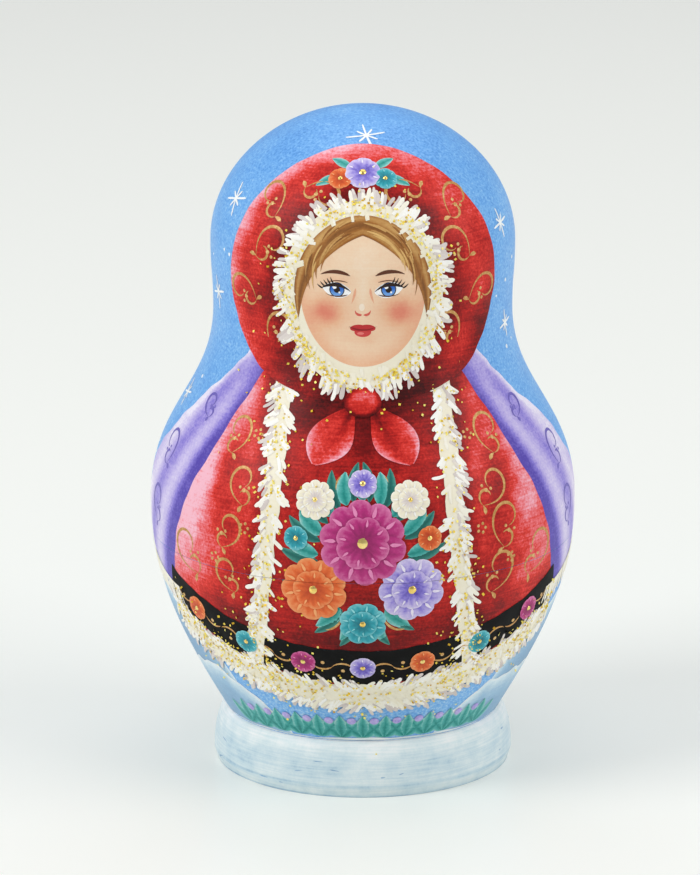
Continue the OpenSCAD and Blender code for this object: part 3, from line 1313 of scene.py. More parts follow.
        # Ring, iris darkened at the top by the lid's painted shadow, pupil, and two dots of painted
        # highlight.
        for finish, right, up, size, lift, shade, count in (
            (INK, 0.0, 0.05, 1.22, 0.134, 0.0, 9),
            (IRIS, 0.0, 0.05, 1.06, 0.138, 0.55 - 0.45 * ring * np.sin(turn), 11),
            (INK, 0.0, 0.05, 0.52, 0.142, 0.0, 9),
            (EYE_WHITE, -0.38, 0.48, 0.32, 0.148, 1.0, 9),
            (EYE_WHITE, 0.40, -0.40, 0.16, 0.148, 1.0, 9),
        ):
            self.spot(finish, a + right, b + up, size, size, lift, shade, count)
        # Upper lid, lower lid, brow and crease, each from its inner end outwards.
        for inwards, up, heading, length, width, shade, bend, swell, rows, ridge in (
            (2.2, -0.25, 0.78, 5.1, 0.55, 0.05, -1.35, 1.15, 12, 0.02),
            (1.7, -0.75, -0.35, 3.6, 0.22, 0.70, 0.75, 0.6, 9, 0.01),
            (2.1, 2.35, 0.50, 4.9, 0.62, 0.75, -0.95, 0.8, 10, 0.01),
            (1.7, 1.25, 0.35, 3.7, 0.16, 0.95, -0.80, 0.6, 9, 0.005),
        ):
            self.line(INK, side, a - inwards * side, b + up, heading, length, width, 0.150, shade,
                      bend=bend, swell=swell, rows=rows, ridge=ridge)
        share = np.linspace(0.35, 1.0, 5)
        lashes = self.scarf.on(a + side * (-0.4 + 2.7 * share), b + 1.15 - 0.95 * share**2.2)
        self.strokes(INK, *lashes, mirrored(1.15 - 0.75 * share, side), 1.15, 0.26, 0.152, 0.0,
                     bend=0.5 * side, swell=0.5, ridge=0.01)

    def nose(self) -> None:
        """Small turned-up nose: two curved strokes on each side and a light."""
        for side in SIDES:
            self.line(FLESH, side, 0.15 * side, -3.15, -0.35, 1.5, 0.42, 0.128, 0.05,
                      bend=1.9, rows=8, ridge=0.01)
            self.line(FLESH, side, 1.15 * side, 1.2, 0.1 - np.pi / 2, 2.6, 0.4, 0.124, 0.45,
                      bend=0.3, rows=7, ridge=0.0)
        self.spot(FLESH, -0.15, -1.9, 0.45, 0.62, 0.126, 1.0)

    def mouth(self) -> None:
        """Small closed lips: two upper lobes, one lower lobe, a parting line and a light."""
        for side in SIDES:
            self.spot(LIP, 0.85 * side, -5.35, 1.20, 0.55, 0.130, 0.42, turn=-0.10 * side)
        self.spot(LIP, 0, -6.05, 1.35, 0.80, 0.128, 0.58)
        self.line(LIP, 1, -2.15, -5.15, -0.50, 4.5, 0.26, 0.140, 0.0,
                  bend=1.0, rows=12, ridge=0.005)
        self.spot(LIP, -0.35, -6.25, 0.55, 0.22, 0.142, 1.0)


@dataclass
class Trim(Painter):
    """Cream combed trims: round the face, along the hem and the apron, and the shawl's fringe.

    Attributes:
        face: Face that the ring goes round.
        dress: Dress that carries the other trims.
        deep: Shades of the strokes that lie in shadow.
        plain: Shades of the strokes between.
        bright: Shades of the strokes on top.
        hem_half: Half angle of the trim along the hem, in degrees.
        fringe_count: Full number of threads on each side.
    """

    group: ClassVar[Group] = Group.TRIM
    face: Face
    dress: Dress
    deep: tuple = (0.05, 0.35)
    plain: tuple = (0.55, 0.85)
    bright: tuple = (0.8, 1.0)
    hem_half: float = 67.5
    fringe_count: int = 70

    def paint(self) -> None:
        """Lays each base band and then its strokes."""
        self.ring()
        self.hem()
        for side in SIDES:
            self.apron(side)
            self.fringe(side)

    def comb(
        self, theta: Array, s: Array, heading: Array, reach: tuple, lift: float, light: tuple,
        width: tuple = (0.6, 0.95), spread: float = 0.24,
    ) -> None:
        """Many unlike cream strokes from given bases, each at its own small lift.

        Args:
            theta: Angle of each base.
            s: Length along the profile of each base.
            heading: Middle direction of the strokes.
            reach: Least and greatest length.
            lift: Least lift.
            light: Darkest and lightest shade.
            width: Least and greatest width.
            spread: Spread of the directions.
        """
        n = len(theta)
        rng = self.rng
        self.strokes(
            CREAM, theta, s, heading + rng.normal(0, spread, n), rng.uniform(*reach, n),
            rng.uniform(*width, n), lift + rng.uniform(0, 0.03, n), rng.uniform(*light, n),
            bend=rng.normal(0, 0.25, n), ridge=0.05, tip=Tip.BLUNT,
        )

    def ring(self) -> None:
        """Soft ring round the face: a band between two ovals, with strokes outwards and inwards."""
        phi, v = grid(121, 7, 0, 2 * np.pi)
        band = self.face.oval(0.96 + 0.30 * v, phi)
        self.sheet(CREAM, *band, 0.135, 0.64 + 0.08 * np.sin(11 * phi) * v)
        for full, sizes, reach, light, lift in (
            (95, (1.20, 1.28), (1.8, 2.9), self.deep, 0.14),
            (120, (1.13, 1.26), (1.8, 3.0), self.bright, 0.16),
            (110, (0.98, 1.14), (1.4, 2.4), self.plain, 0.15),
        ):
            n = self.count(full)
            phi = self.rng.uniform(0, 2 * np.pi, n)
            base = self.face.oval(self.rng.uniform(*sizes, n), phi)
            self.comb(*base, phi - 0.55 * np.cos(phi), reach, lift, light)

    def hem(self) -> None:
        """Band along the hem, with strokes up and down from it."""
        u, v = grid(150, 7)
        degrees = self.hem_half * u
        z = self.dress.hem(degrees) - 2.2 + 4.6 * v + waver(12 * u, 0.3, 0.9)
        shade = 0.66 + 0.08 * np.sin(40 * u) * v
        self.sheet(CREAM, np.radians(degrees), self.along(z), 0.10, shade)
        for full, offset, up, light, lift in (
            (100, (-2.2, -1.5), -1, self.deep, 0.105),
            (110, (-1.8, -0.7), -1, self.bright, 0.12),
            (80, (1.6, 2.4), 1, self.deep, 0.105),
            (110, (1.0, 2.0), 1, self.bright, 0.12),
            (110, (-1.4, 1.0), -1, self.plain, 0.11),
        ):
            n = self.count(full)
            degrees = self.rng.uniform(-self.hem_half - 0.5, self.hem_half + 0.5, n)
            z = self.dress.hem(degrees) + self.rng.uniform(*offset, n)
            heading = up * (np.pi / 2 - 0.75 * np.sign(degrees))
            self.comb(np.radians(degrees), self.along(z), heading, (1.7, 2.8), lift, light)

    def apron(self, side: int) -> None:
        """Edging down one side of the apron: a narrow band, with strokes out and down from it.

        Args:
            side: -1 for the left, 1 for the right.
        """
        c, v = grid(5, 60)
        low, high = self.dress.apron_z
        z = low + (high - low) * v
        s = self.along(z)
        a = self.dress.apron(z) + (1.5 + waver(14 * v, 0.25, 1.3)) * c
        self.sheet(CREAM, side * a / self.radius(s), s, 0.10, 0.58 + 0.08 * bell(c, 0, 0.6))
        for full, lean, light, lift in (
            (44, -0.85, self.deep, 0.105), (56, -0.85, self.bright, 0.12),
            (52, -2.3, self.bright, 0.12),
        ):
            n = self.count(full)
            z = self.rng.uniform(low, high, n)
            s = self.along(z)
            a = self.dress.apron(z) + self.rng.uniform(0.2, 1.2, n) * np.sign(np.cos(lean))
            self.comb(side * a / self.radius(s), s, mirrored(lean, side), (1.7, 2.9), lift, light)

    def fringe(self, side: int) -> None:
        """Hanging threads along the shawl's lower edge.

        Args:
            side: -1 for the left, 1 for the right.
        """
        u = np.linspace(0.2, 1.0, self.count(self.fringe_count))
        z = self.dress.shawl_z[0] + 0.3 + self.dress.shawl_bow * u**2
        inner = self.dress.edge(z) - self.dress.shawl_tuck
        degrees = inner + (self.dress.shawl_edge(z) - inner) * u
        self.comb(side * np.radians(degrees), self.along(z), -np.pi / 2, (2.6, 4.2), 0.06,
                  (0.5, 1.0), (0.35, 0.55), 0.12)


@dataclass
class Bouquet(Painter):
    """Folk flowers: a bouquet on the apron, a spray on the scarf, sprigs under the hem.

    Attributes:
        dress: Dress whose border carries flowers.
        scarf: Headscarf that carries the spray.
        middle_z: Height of the bouquet's middle.
        leaves_about: Paint, number, first angle, length, width and lift of each round of leaves.
        flowers: Paint, millimetres to the right, height, radius and petals of each flower.
        spray: Paint, millimetres to the right, length over the face's middle, and radius.
        border_paints: Paints of the border's flowers in turn.
        border_step: Degrees from one of them to the next.
        sprig_step: Degrees from one sprig to the next.
    """

    group: ClassVar[Group] = Group.TRIM
    dress: Dress
    scarf: Headscarf
    middle_z: float = 43.5
    leaves_about: tuple = ((FIR, 18, 0.2, 6.6, 2.0, 0.07), (TEAL, 17, 0.0, 5.4, 2.7, 0.08))
    flowers: tuple = (
        (CREAM, -7.6, 53.0, 3.2, 10), (CREAM, 7.6, 53.0, 3.2, 10), (TURQUOISE, 0, 32.6, 3.8, 8),
        (ORANGE, -7.9, 38.4, 5.4, 9), (LILAC, 7.9, 38.4, 5.4, 9), (MAGENTA, 0, 46.4, 7.0, 10),
        (TURQUOISE, -10.8, 46.8, 2.0, 6), (ORANGE, 10.8, 46.8, 2.0, 6), (LILAC, 0, 55.6, 2.3, 7),
    )
    spray: tuple = ((ORANGE, -4.7, 19.2, 1.9), (TURQUOISE, 4.7, 19.2, 1.9), (LILAC, 0, 20.4, 2.9))
    border_paints: tuple = (ORANGE, TURQUOISE, MAGENTA, LILAC)
    border_step: float = 18.0
    sprig_step: float = 8.5

    def paint(self) -> None:
        """Lays leaves first, then the flowers on them."""
        self.bunch()
        self.crown()
        self.border()
        self.sprigs()

    def blossom(
        self, finish: Finish, angle: float, z: float, radius: float, petals: int, lift: float
    ) -> None:
        """Flower of round petals about a raised boss, each pale at its rim, with a light on it.

        Args:
            finish: Paint of the petals.
            angle: Angle of the middle in degrees.
            z: Height of the middle.
            radius: Length of a petal in millimetres.
            petals: Number of petals.
            lift: Lift of the lowest petal.
        """
        order = np.arange(petals)
        theta, s = self.flat(angle, z, 0.0 * order, 0.0 * order)
        heading = 2 * np.pi * order / petals + 0.4
        c, t = ribbon(7, 9)
        t = np.sin(0.5 * np.pi * t)
        vein = 0.10 * np.cos(9 * c) * smooth(0.2, 0.5, t) * smooth(1.0, 0.7, t)
        tint = self.rng.normal(0, 0.05, (petals, 1, 1))
        shade = np.clip(0.10 + 0.62 * t**1.6 + 0.22 * c**2 * t + vein + tint, 0, 1)
        lifts = lift + 0.012 * order
        width = 1.12 * radius * 2 * np.pi / petals
        self.strokes(finish, theta, s, heading, radius, width, lifts, shade, ridge=0.08, rows=9,
                     columns=7, tip=Tip.BLUNT)
        a, b = (0.62 * radius * f(heading + 0.16) for f in (np.cos, np.sin))
        self.strokes(finish, theta + a / self.radius(s), s + b, heading + 0.1, 0.28 * radius,
                     0.09 * radius, lifts + 0.085, 1.0, bend=0.3, ridge=0.01)
        self.dots(GOLD_LEAF, theta[:1], s[:1], 0.20 * radius, lift + 0.1, 0.25, 0.7)

    def leaves(
        self, finish: Finish, theta: Array, s: Array, heading: Array, length: float, width: float,
        lift: Array | float, bend: Array | float,
    ) -> None:
        """Leaves: pointed strokes with a dark rib and pale edges.

        Args:
            finish: Their paint.
            theta: Angle of each root.
            s: Length along the profile of each root.
            heading: Direction of each root, in radians from rightwards.
            length: Length in millimetres.
            width: Greatest width in millimetres.
            lift: Lift of the edges.
            bend: Whole turn along each leaf, in radians.
        """
        c, t = ribbon(5, 9)
        shade = 0.22 + 0.5 * np.abs(c) + 0.22 * t
        self.strokes(finish, theta, s, heading, length, width, lift, shade, bend=bend, swell=0.85,
                     ridge=0.03, rows=9, columns=5)

    def bunch(self) -> None:
        """Bouquet on the apron: two rounds of leaves about its middle, then flowers and buds."""
        for finish, count, start, *sizes in self.leaves_about:
            phi = np.pi / 2 + start + 2 * np.pi * np.arange(count) / count
            root = self.flat(0, self.middle_z, 7.2 * np.cos(phi), 9.6 * np.sin(phi))
            self.leaves(finish, *root, phi, *sizes, 0.6 * np.sign(np.cos(phi)))
        for i, (finish, a, z, radius, petals) in enumerate(self.flowers):
            angle = math.degrees(a / self.radius(self.along(z)))
            self.blossom(finish, angle, z, radius, petals, 0.10 + 0.01 * i)
            if radius > 3:
                self.blossom(finish, angle, z, 0.62 * radius, petals - 2, 0.24 + 0.01 * i)

    def crown(self) -> None:
        """Three flowers with leaves on the scarf, over the middle of the face."""
        side = np.array([-1.0, 1.0, -1.0, 1.0])
        out, up = np.array([5.0, 5.0, 2.6, 2.6]), np.array([19.6, 19.6, 21.2, 21.2])
        root = self.scarf.on(side * out, up)
        heading = np.pi / 2 - side * np.array([1.9, 1.9, 0.9, 0.9])
        self.leaves(TEAL, *root, heading, 3.9, 1.6, 0.12, -0.4 * side)
        middle = self.along(self.scarf.middle_z)
        for finish, a, b, radius in self.spray:
            z = float(self.canvas.turning.height(middle + b))
            self.blossom(finish, math.degrees(a / self.radius(middle)), z, radius, 6, 0.14)

    def border(self) -> None:
        """Small flowers along the black border."""
        for i, angle in enumerate(np.arange(-54, 55, self.border_step)):
            finish = self.border_paints[i % len(self.border_paints)]
            self.blossom(finish, float(angle), float(self.dress.border_line(angle)), 2.1, 6, 0.12)

    def sprigs(self) -> None:
        """Teal sprigs of three leaves that rise from the groove, with berries between them."""
        angle = np.repeat(np.radians(np.arange(-51, 52, self.sprig_step)), 3)
        lean = np.tile([0.85, 0.0, -0.85], len(angle) // 3)
        middle = lean == 0
        s = self.along(10.0) + 0.15 * middle
        self.leaves(TEAL, angle, s, np.pi / 2 + lean, 5.0, 2.2, 0.03 + 0.012 * middle, -0.5 * lean)
        spot = np.radians(np.arange(-46.75, 47, self.sprig_step))
        self.dots(LILAC, spot, self.along(13.4), 0.75, 0.07, 0.2, 0.55)


@dataclass
class Gilding(Painter):
    """Gold scrolls on the red, a running wave on the black border, gold tendrils and glitter.

    Attributes:
        scarf: Headscarf with scrolls on it.
        dress: Dress with scrolls, wave and glitter.
        face: Face with glitter round it.
        bouquet: Flowers from which the tendrils spring.
        hem_flakes: Full number of flakes along the hem.
        ring_flakes: Full number of flakes round the face.
        apron_flakes: Full number of flakes down each side of the apron.
        spots: Number of spots about which flakes gather.
    """

    group: ClassVar[Group] = Group.GILDING
    scarf: Headscarf
    dress: Dress
    face: Face
    bouquet: Bouquet
    hem_flakes: int = 760
    ring_flakes: int = 560
    apron_flakes: int = 270
    spots: int = 12

    def paint(self) -> None:
        """Lays the scrolls, the wave and the tendrils, then the glitter."""
        for side in SIDES:
            self.gown_scrolls(side)
            self.scarf_scrolls(side)
            self.shawl_scrolls(side)
            self.wave(side)
            self.tendrils(side)
        self.glitter()

    def scroll(
        self, theta: Array, s: Array, heading: Array, size: Array, hand: Array, lift: float,
        finish: Finish = GOLD_LINE,
    ) -> None:
        """Scrolls: a long hook that tightens into a curl, a small hook that springs back
        from its foot, a drop beside it and three dots in the hollow.

        Args:
            theta: Angle of each foot.
            s: Length along the profile of each foot.
            heading: Direction of each foot, in radians from rightwards.
            size: Size of each scroll in millimetres.
            hand: 1 for a scroll that turns leftwards, -1 for the other hand.
            lift: Lift of the edges.
            finish: Their paint.
        """
        jitter = self.rng.normal(0, 0.10, len(theta))
        for scale, turn, bend, curl, wide in (
            (2.7, 0.0, 5.4, 1.7, 0.52), (0.95, 2.4, -3.9, 1.2, 0.46),
        ):
            self.strokes(finish, theta, s, heading + hand * turn + jitter, scale * size, wide,
                         lift + 0.004 * scale, 0.5, bend=hand * bend, curl=curl, swell=1.25,
                         rows=30, ridge=0.02)
        self.strokes(finish, theta, s, heading - 1.1 * hand, 0.30 * size, 0.7, lift, 0.6,
                     bend=-0.7 * hand, swell=1.4, ridge=0.03)
        for step, reach, radius in ((1.10, 0.50, 0.34), (1.40, 0.62, 0.27), (0.83, 0.62, 0.27)):
            away = heading + hand * step
            a, b = (reach * size * f(away) for f in (np.cos, np.sin))
            self.dots(finish, theta + a / self.radius(s), s + b, radius, lift, 0.05, 0.7)

    def gown_scrolls(self, side: int) -> None:
        """Staggered rows of scrolls over the dress, and rings of dots between them.

        Args:
            side: -1 for the left, 1 for the right.
        """
        across, up = np.meshgrid(np.arange(3), np.arange(5), indexing="ij")
        z = (36.0 + 7.4 * up + 1.6 * across).ravel()
        a = self.dress.apron(z) + (5.2 + 8.4 * across + 3.4 * (up % 2)).ravel()
        s = self.along(z)
        theta = a / self.radius(s)
        keep = np.degrees(theta) < self.dress.edge(z) - 7
        theta, s = theta[keep], s[keep]
        n = len(theta)
        hand = in_turn(n)
        heading = np.where(hand > 0, 0.3, 2.3) + self.rng.normal(0, 0.25, n)
        size = self.rng.uniform(4.4, 6.4, n)
        self.scroll(side * theta, s, mirrored(heading, side), size, hand * side, 0.066)
        ring = np.arange(5) * 2 * np.pi / 5
        spot, along = side * (theta - 0.13)[:, None], (s + 3.9)[:, None]
        spot = spot + 0.75 * np.cos(ring) / self.radius(along)
        along = along + 0.75 * np.sin(ring)
        self.dots(GOLD_LINE, spot.ravel(), along.ravel(), 0.26, 0.06, 0.04, 0.6)

    def shawl_scrolls(self, side: int) -> None:
        """Violet scrolls down the shawl.

        Args:
            side: -1 for the left, 1 for the right.
        """
        theta = side * np.radians([73.0, 71.0, 58.0])
        s = self.along(np.array([43.0, 53.0, 62.0]))
        heading = mirrored(np.array([0.6, 2.2, 0.4]), side)
        size = np.array([4.8, 4.6, 3.2])
        self.scroll(theta, s, heading, size, side * in_turn(len(size)), 0.05, VIOLET_LINE)

    def scarf_scrolls(self, side: int) -> None:
        """Scrolls in an arch over the face and down beside it.

        Args:
            side: -1 for the left, 1 for the right.
        """
        phi = np.radians([56, 36, 15, -7, -29])
        reach = np.array([20.6, 19.8, 19.3, 18.9, 18.4])
        size = np.array([4.6, 4.9, 5.0, 4.8, 4.4])
        foot = self.scarf.on(side * reach * np.cos(phi), reach * np.sin(phi))
        heading = mirrored(phi + 1.4, side) + self.rng.normal(0, 0.12, len(phi))
        self.scroll(*foot, heading, size, side * in_turn(len(phi)), 0.142)

    def wave(self, side: int) -> None:
        """Running wave along the black border: arcs up and down in turn, with a dot in each.

        Args:
            side: -1 for the left, 1 for the right.
        """
        start = np.arange(3.0, 58, 6.0)
        up = in_turn(len(start))
        s = self.along(self.dress.border_line(start))
        heading = mirrored(0.0085 * start + 0.85 * up, side)
        self.strokes(GOLD_LINE, side * np.radians(start), s, heading, 3.8, 0.36, 0.112, 0.55,
                     bend=-1.7 * up * side, swell=0.9, rows=9, ridge=0.02)
        theta = side * np.radians(start + 3.0)
        self.dots(GOLD_LINE, theta, s - 0.7 * up, 0.32, 0.112, 0.06, 0.7)

    def tendrils(self, side: int) -> None:
        """Gold tendrils that spring from the bouquet.

        Args:
            side: -1 for the left, 1 for the right.
        """
        phi = np.radians([62, 38, 8, -40, -66])
        a, b = side * 8.4 * np.cos(phi), 11.0 * np.sin(phi)
        root = self.flat(0, self.bouquet.middle_z, a, b)
        self.strokes(GOLD_LINE, *root, mirrored(phi, side), 5.4, 0.42, 0.09, 0.6, bend=1.9 * side,
                     curl=1.4, swell=0.8, rows=14, ridge=0.02)

    def flakes(self, theta: Array, s: Array, lift: float) -> None:
        """Glitter: one square of 0.2 to 0.4 mm per spot, turned and tilted at random.

        Args:
            theta: Angle of each flake.
            s: Length along the profile of each flake.
            lift: Least lift of their middles.
        """
        each = (len(theta), 1, 1)
        edge = self.rng.uniform(0.11, 0.2, each)
        turn = self.rng.uniform(0, np.pi, each)
        x, y = np.meshgrid([-1.0, 1.0], [-1.0, 1.0], indexing="ij")
        a = edge * (x * np.cos(turn) - y * np.sin(turn))
        b = edge * (x * np.sin(turn) + y * np.cos(turn))
        tilt = self.rng.normal(0, 0.35, (2, *each))
        theta, s = per_shape(theta, theta), per_shape(s, s)
        rise = lift + self.rng.uniform(0.0, 0.05, each) + tilt[0] * a + tilt[1] * b
        shade = self.rng.uniform(0, 1, each)
        self.sheet(GLITTER, theta + a / self.radius(s), s + b, np.maximum(rise, 0.06), shade)

    def spread(self, n: int, near: float, far: float) -> Array:
        """Distances from a trim's middle: three of four flakes fall near it, the rest far."""
        return self.rng.normal(0, 1, n) * np.where(self.rng.random(n) < 0.75, near, far)

    def clumps(self, n: int, low: float, high: float) -> Array:
        """Places along a trim: half of them even, half gathered about a few spots.

        Args:
            n: Number of places.
            low: Start of the trim.
            high: End of the trim.

        Returns:
            The places.
        """
        even = self.rng.uniform(low, high, n)
        spots = self.rng.uniform(low, high, self.spots)[self.rng.integers(0, self.spots, n)]
        gathered = spots + self.rng.normal(0, 0.02 * (high - low), n)
        return np.where(self.rng.random(n) < 0.5, even, np.clip(gathered, low, high))

    def glitter(self) -> None:
        """Flakes scattered over the trims, thick in the middle of each and spilled beside it."""
        n = self.count(self.hem_flakes)
        degrees = self.clumps(n, -67, 67)
        z = self.dress.hem(degrees) + 1.0 + self.spread(n, 1.9, 4.2)
        self.flakes(np.radians(degrees), self.along(z), 0.2)
        n = self.count(self.ring_flakes)
        phi = self.clumps(n, 0, 2 * np.pi)
        self.flakes(*self.face.oval(1.08 + np.abs(self.spread(n, 0.13, 0.30)), phi), 0.24)
        for side in SIDES:
            n = self.count(self.apron_flakes)
            z = self.clumps(n, *self.dress.apron_z)
            s = self.along(z)
            a = self.dress.apron(z) + self.spread(n, 1.5, 4.0)
            self.flakes(side * a / self.radius(s), s, 0.2)


@dataclass
class Doll:
    """One doll of the set: its turned pieces and their paint.

    Attributes:
        index: Place in the nest, counted inwards from 0.
        name: Start of its nodes' names.
        detail: Share of the full number of brush strokes.
        turns: Facets round the axis.
        turning: The turned shape.
        size: Share of the outer doll's size.
        stand: Height of its base in metres.
    """

    index: int
    name: str
    detail: float
    turns: int
    turning: Turning
    size: float = field(init=False)
    stand: float = field(init=False)

    def __post_init__(self) -> None:
        """Works out its size and reads where it stands."""
        self.size = self.turning.size(self.index)
        self.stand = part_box(self.node(self.halves()[0]))[0].z

    def halves(self) -> tuple[Half, ...]:
        """The turned pieces of this doll."""
        return (Half.WHOLE,) if self.name == "smallest" else (Half.BOTTOM, Half.TOP)

    def node(self, half: Half) -> str:
        """Name of the CAD node and body of a piece."""
        return f"{self.name}_{half.value}"

    def build(self) -> None:
        """Makes the turned pieces, then paints them."""
        for half in self.halves():
            self.turn(half)
        canvas = Canvas(self.turning, self.detail, FIRST_SEED + self.index)
        dress, scarf = Dress(canvas), Headscarf(canvas)
        face, bouquet = Face(canvas, scarf), Bouquet(canvas, dress, scarf)
        gilding = Gilding(canvas, scarf, dress, face, bouquet)
        trim = Trim(canvas, face, dress)
        for painter in (WinterScene(canvas), dress, scarf, trim, face, bouquet, gilding):
            painter.paint()
        for group in Group:
            self.lay(canvas, group)

    def turn(self, half: Half) -> None:
        """Turns one piece: its half section carried round the axis, with a fan at each pole.

        Args:
            half: Which piece.
        """
        runs = self.turning.section(self.index, half)
        finishes = list(dict.fromkeys(finish for _, finish in runs))
        section = np.vstack([runs[0][0][:1]] + [points[1:] for points, _ in runs])
        edges = [len(points) - 1 for points, _ in runs]
        number = np.repeat([finishes.index(finish) for _, finish in runs], edges)
        k = np.arange(self.turns)
        n = (k + 1) % self.turns
        angle = k * 2 * np.pi / self.turns
        r, z = section[1:-1, :1], section[1:-1, 1:]
        spots = np.stack([r * np.sin(angle), -r * np.cos(angle), z + 0 * angle], axis=-1)
        poles = (0, 0, section[0, 1]), (0, 0, section[-1, 1])
        spots = np.vstack([spots.reshape(-1, 3), *poles])
        rows = np.arange(len(r))[:, None] * self.turns
        low, high = rows[:-1], rows[1:]
        quads = np.stack([low + k, low + n, high + n, high + k], axis=-1).reshape(-1, 4)
        last, pole = rows[-1], np.full_like(k, len(spots) - 1)
        first_fan = np.stack([k, pole - 1, n], axis=-1)
        last_fan = np.stack([last + k, last + n, pole], axis=-1)
        faces = quads.tolist() + first_fan.tolist() + last_fan.tolist()
        paint = np.repeat(np.concatenate([number[1:-1], number[:1], number[-1:]]), self.turns)
        bare = np.zeros(len(spots), bool)
        bare[quads[paint[: len(quads)] == finishes.index(LINDEN)].ravel()] = True
        shade = self.shades(spots[:, 2] / self.size, bare)
        piece = self.piece(f"{self.node(half)}_wood", spots, faces, shade, paint, finishes, half)
        piece.data.set_sharp_from_angle(angle=math.radians(32))
        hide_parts(self.node(half))

    def shades(self, z: Array, bare: Array) -> Array:
        """Shade of the wood and its ground coat by height.

        The blue is paler near the foot, and painted shade deepens it on the crown. The white of
        the foot has a painted highlight under the groove, a thin dark line of painted shade just
        over the lower bevel, a slightly darker middle, and a painted contact shadow at the base.

        Args:
            z: Heights at the outer doll's size.
            bare: Which points lie on bare wood.

        Returns:
            The shades.
        """
        tall = z / self.turning.doll_h
        # Painted shade deepens the crown.
        shade = 0.50 + 0.16 * smooth(0.30, 0.09, tall) - 0.10 * smooth(0.84, 1.0, tall)
        rise = z / self.turning.groove_z
        # Painted highlight under the groove and painted contact shadow at the base; below, a thin
        # line of painted shade over the lower bevel and a slightly darker middle.
        foot = 0.57 + 0.26 * smooth(0.66, 0.98, rise) - 0.5 * smooth(0.06, 0.0, rise)
        foot = foot - 0.46 * bell(rise, 0.20, 0.022) - 0.14 * bell(rise, 0.50, 0.2)
        return np.where(rise < 1, foot, np.where(bare, 0.55, shade))

    def lay(self, canvas: Canvas, group: Group) -> None:
        """Puts one painted layer on each half, cut at the parting line.

        Args:
            canvas: What the painters laid.
            group: The layer.
        """
        spots, quads, *looks = canvas.meshes(group)
        seam = self.turning.seam_z
        for half in self.halves():
            if half is Half.BOTTOM and spots[:, 2].min() > seam:
                continue
            name = f"{self.node(half)}_{group.value}"
            cut = None if half is Half.WHOLE else seam * self.size
            piece = self.piece(name, spots * self.size, quads.tolist(), *looks, half, cut)

    def piece(
        self, name: str, spots: Array, faces: list, shade: Array, paint: Array,
        finishes: list[Finish], half: Half, cut: float | None = None,
    ) -> bpy.types.Object:
        """Makes one mesh object at its place in the nest and lets it ride on its body.

        Args:
            name: Object name.
            spots: Points above the doll's base in millimetres.
            faces: Corners of each face.
            shade: Shade of each point.
            paint: Finish number of each face.
            finishes: The finishes.
            half: Piece that it belongs to.
            cut: Height at which it is cut, of which the half keeps its side.

        Returns:
            The object.
        """
        mesh = bpy.data.meshes.new(name)
        placed = spots * MM + np.array([0, 0, self.stand])
        mesh.from_pydata(placed.tolist(), [], faces)
        for finish in finishes:
            mesh.materials.append(finish.material())
        mesh.polygons.foreach_set("material_index", np.asarray(paint, np.int32))
        shades = mesh.attributes.new("shade", "FLOAT", "POINT")
        shades.data.foreach_set("value", np.asarray(shade, np.float32))
        mesh.polygons.foreach_set("use_smooth", np.ones(len(mesh.polygons), bool))
        if cut is not None:
            top = half is Half.TOP
            level = self.stand + (cut + (SEAM_GAP if top else -SEAM_GAP)) * MM
            work = bmesh.new()
            work.from_mesh(mesh)
            bmesh.ops.bisect_plane(
                work, geom=work.verts[:] + work.edges[:] + work.faces[:], plane_co=(0, 0, level),
                plane_no=(0, 0, 1), clear_inner=top, clear_outer=not top,
            )
            work.to_mesh(mesh)
            work.free()
        mesh.validate()
        piece = bpy.data.objects.new(name, mesh)
        bpy.context.scene.collection.objects.link(piece)
        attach(piece, self.node(half))
        LOG.info("%s: %d faces", name, len(mesh.polygons))
        return piece


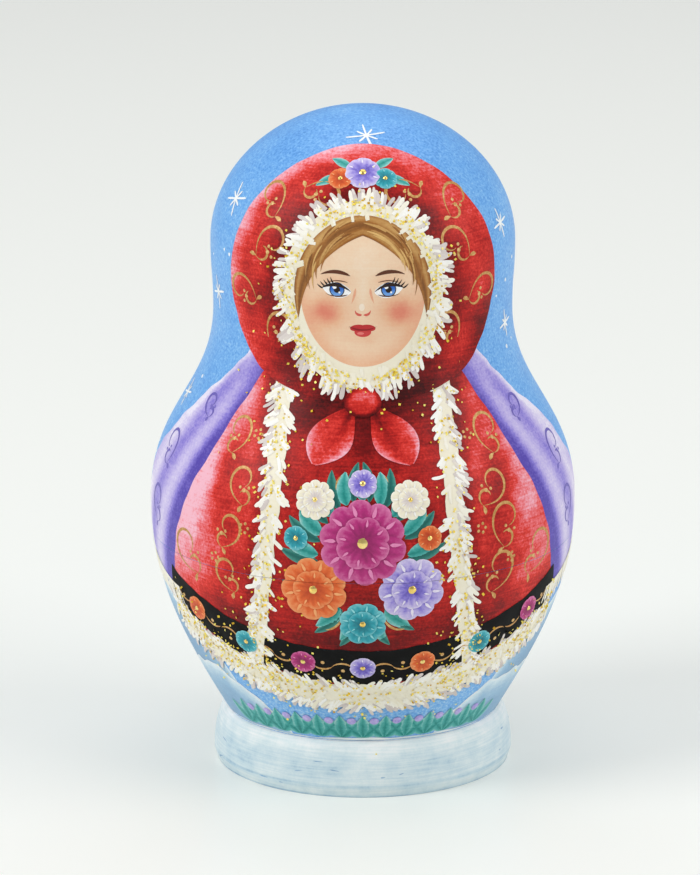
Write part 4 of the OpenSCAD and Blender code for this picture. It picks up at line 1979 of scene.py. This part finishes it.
@dataclass
class Studio:
    """Pale floor, soft lights and the camera at the photograph's angle, in metres and watts.

    Attributes:
        lamps: Name, place, width and power of each lamp.
        aim: Spot that the lamps are aimed at.
        air: Colour of the light from all round.
        air_light: Strength of that light.
        board: Colour of the floor.
        board_glow: How much brighter the camera and reflections see the floor.
        board_half: Half width of the floor.
        camera_spot: Place of the camera.
        pitch_down: Tilt of the camera below level, in degrees.
        focal_px: Focal length in pixels of the photograph.
        axis_px: Column of the photograph on which the doll's axis stands.
        width_px: Columns of the photograph.
        height_px: Rows of the photograph.
    """

    lamps: tuple = (
        ("key", (-1.30, -0.58, 0.95), 0.85, 14.0),
        ("fill", (1.35, -0.52, 0.85), 1.15, 11.0),
        ("top", (0.05, 0.25, 0.95), 0.90, 3.2),
    )
    aim: tuple = (0.0, 0.0, 0.055)
    air: str = "#F4F6F8"
    air_light: float = 0.42
    board: str = "#ECEEE9"
    board_glow: float = 0.13
    board_half: float = 4.0
    camera_spot: tuple = (0.0, -0.8685, 0.2911)
    pitch_down: float = 15.25
    focal_px: float = 5455.9
    axis_px: float = 362.8
    width_px: float = 700.0
    height_px: float = 875.0

    def build(self) -> None:
        """Sets up everything round the doll."""
        self.floor()
        for lamp in self.lamps:
            self.lamp(*lamp)
        world = bpy.data.worlds.new("studio_air")
        world.use_nodes = True
        air = world.node_tree.nodes["Background"]
        air.inputs["Color"].default_value = linear(self.air)
        air.inputs["Strength"].default_value = self.air_light
        bpy.context.scene.world = world
        bpy.context.scene.view_settings.view_transform = "Standard"
        self.camera()

    def floor(self) -> None:
        """Pale sheet: a square at height 0, a hair lower so that it clears the base."""
        side = np.linspace(-self.board_half, self.board_half, 3)
        x, y = np.meshgrid(side, side, indexing="ij")
        spots = np.stack([x, y, 0 * x - 0.02 * MM], axis=-1).reshape(-1, 3)
        i = np.arange(9).reshape(3, 3)
        quads = np.stack([i[:-1, :-1], i[1:, :-1], i[1:, 1:], i[:-1, 1:]], axis=-1).reshape(-1, 4)
        mesh = bpy.data.meshes.new("floor")
        mesh.from_pydata(spots.tolist(), [], quads.tolist())
        # Satin white board, which gives a soft pale reflection at the foot.
        made = bpy.data.materials.new("satin_white_board")
        made.use_nodes = True
        tree = made.node_tree
        shader = tree.nodes["Principled BSDF"]
        shader.inputs["Base Color"].default_value = linear(self.board)
        shader.inputs["Roughness"].default_value = 0.32
        # The camera and reflections see the board a little brighter, as a white sweep is.
        path = add_node(tree, "ShaderNodeLightPath")
        seen = add_node(
            tree, "ShaderNodeMath", {"operation": "MAXIMUM"}, None,
            {0: path.outputs["Is Camera Ray"], 1: path.outputs["Is Glossy Ray"]},
        )
        glow = add_node(
            tree, "ShaderNodeMath", {"operation": "MULTIPLY"}, {1: self.board_glow},
            {0: seen.outputs[0]},
        )
        tree.links.new(glow.outputs[0], shader.inputs["Emission Strength"])
        shader.inputs["Emission Color"].default_value = linear("#FAFBF8")
        mesh.materials.append(made)
        floor = bpy.data.objects.new("floor", mesh)
        bpy.context.scene.collection.objects.link(floor)

    def lamp(self, name: str, spot: tuple, size: float, power: float) -> None:
        """Square soft lamp aimed at the doll's middle.

        Args:
            name: Its name.
            spot: Its place.
            size: Its width.
            power: Its power.
        """
        data = bpy.data.lights.new(name, "AREA")
        data.size = size
        data.energy = power
        lamp = bpy.data.objects.new(name, data)
        lamp.location = spot
        aim = np.subtract(self.aim, spot)
        flat = math.hypot(aim[0], aim[1])
        lamp.rotation_euler = (math.atan2(flat, -aim[2]), 0, math.atan2(-aim[0], aim[1]))
        bpy.context.scene.collection.objects.link(lamp)

    def camera(self) -> None:
        """Long lens in front of the doll, tilted down; the shift frames the axis off centre."""
        data = bpy.data.cameras.new("camera")
        data.sensor_width = 36.0
        data.lens = self.focal_px * data.sensor_width / self.height_px
        data.shift_x = (0.5 * self.width_px - self.axis_px) / self.height_px
        data.clip_start, data.clip_end = 0.01, 20
        camera = bpy.data.objects.new("camera", data)
        camera.location = self.camera_spot
        camera.rotation_euler = (math.radians(90 - self.pitch_down), 0, 0)
        bpy.context.scene.collection.objects.link(camera)
        bpy.context.scene.camera = camera


# Name, share of the brush strokes and facets round the axis of each doll, from the outside in.
DOLLS = (
    ("outer", 1.0, 256), ("second", 0.8, 192), ("third", 0.65, 160), ("fourth", 0.5, 128),
    ("smallest", 0.4, 112),
)


def main() -> None:
    """Builds the studio and the five dolls."""
    logging.basicConfig(level=logging.INFO, format="%(message)s")
    turning = Turning()
    Studio().build()
    for index, (name, detail, turns) in enumerate(DOLLS):
        Doll(index, name, detail, turns, turning).build()


if __name__ == "__main__":
    main()
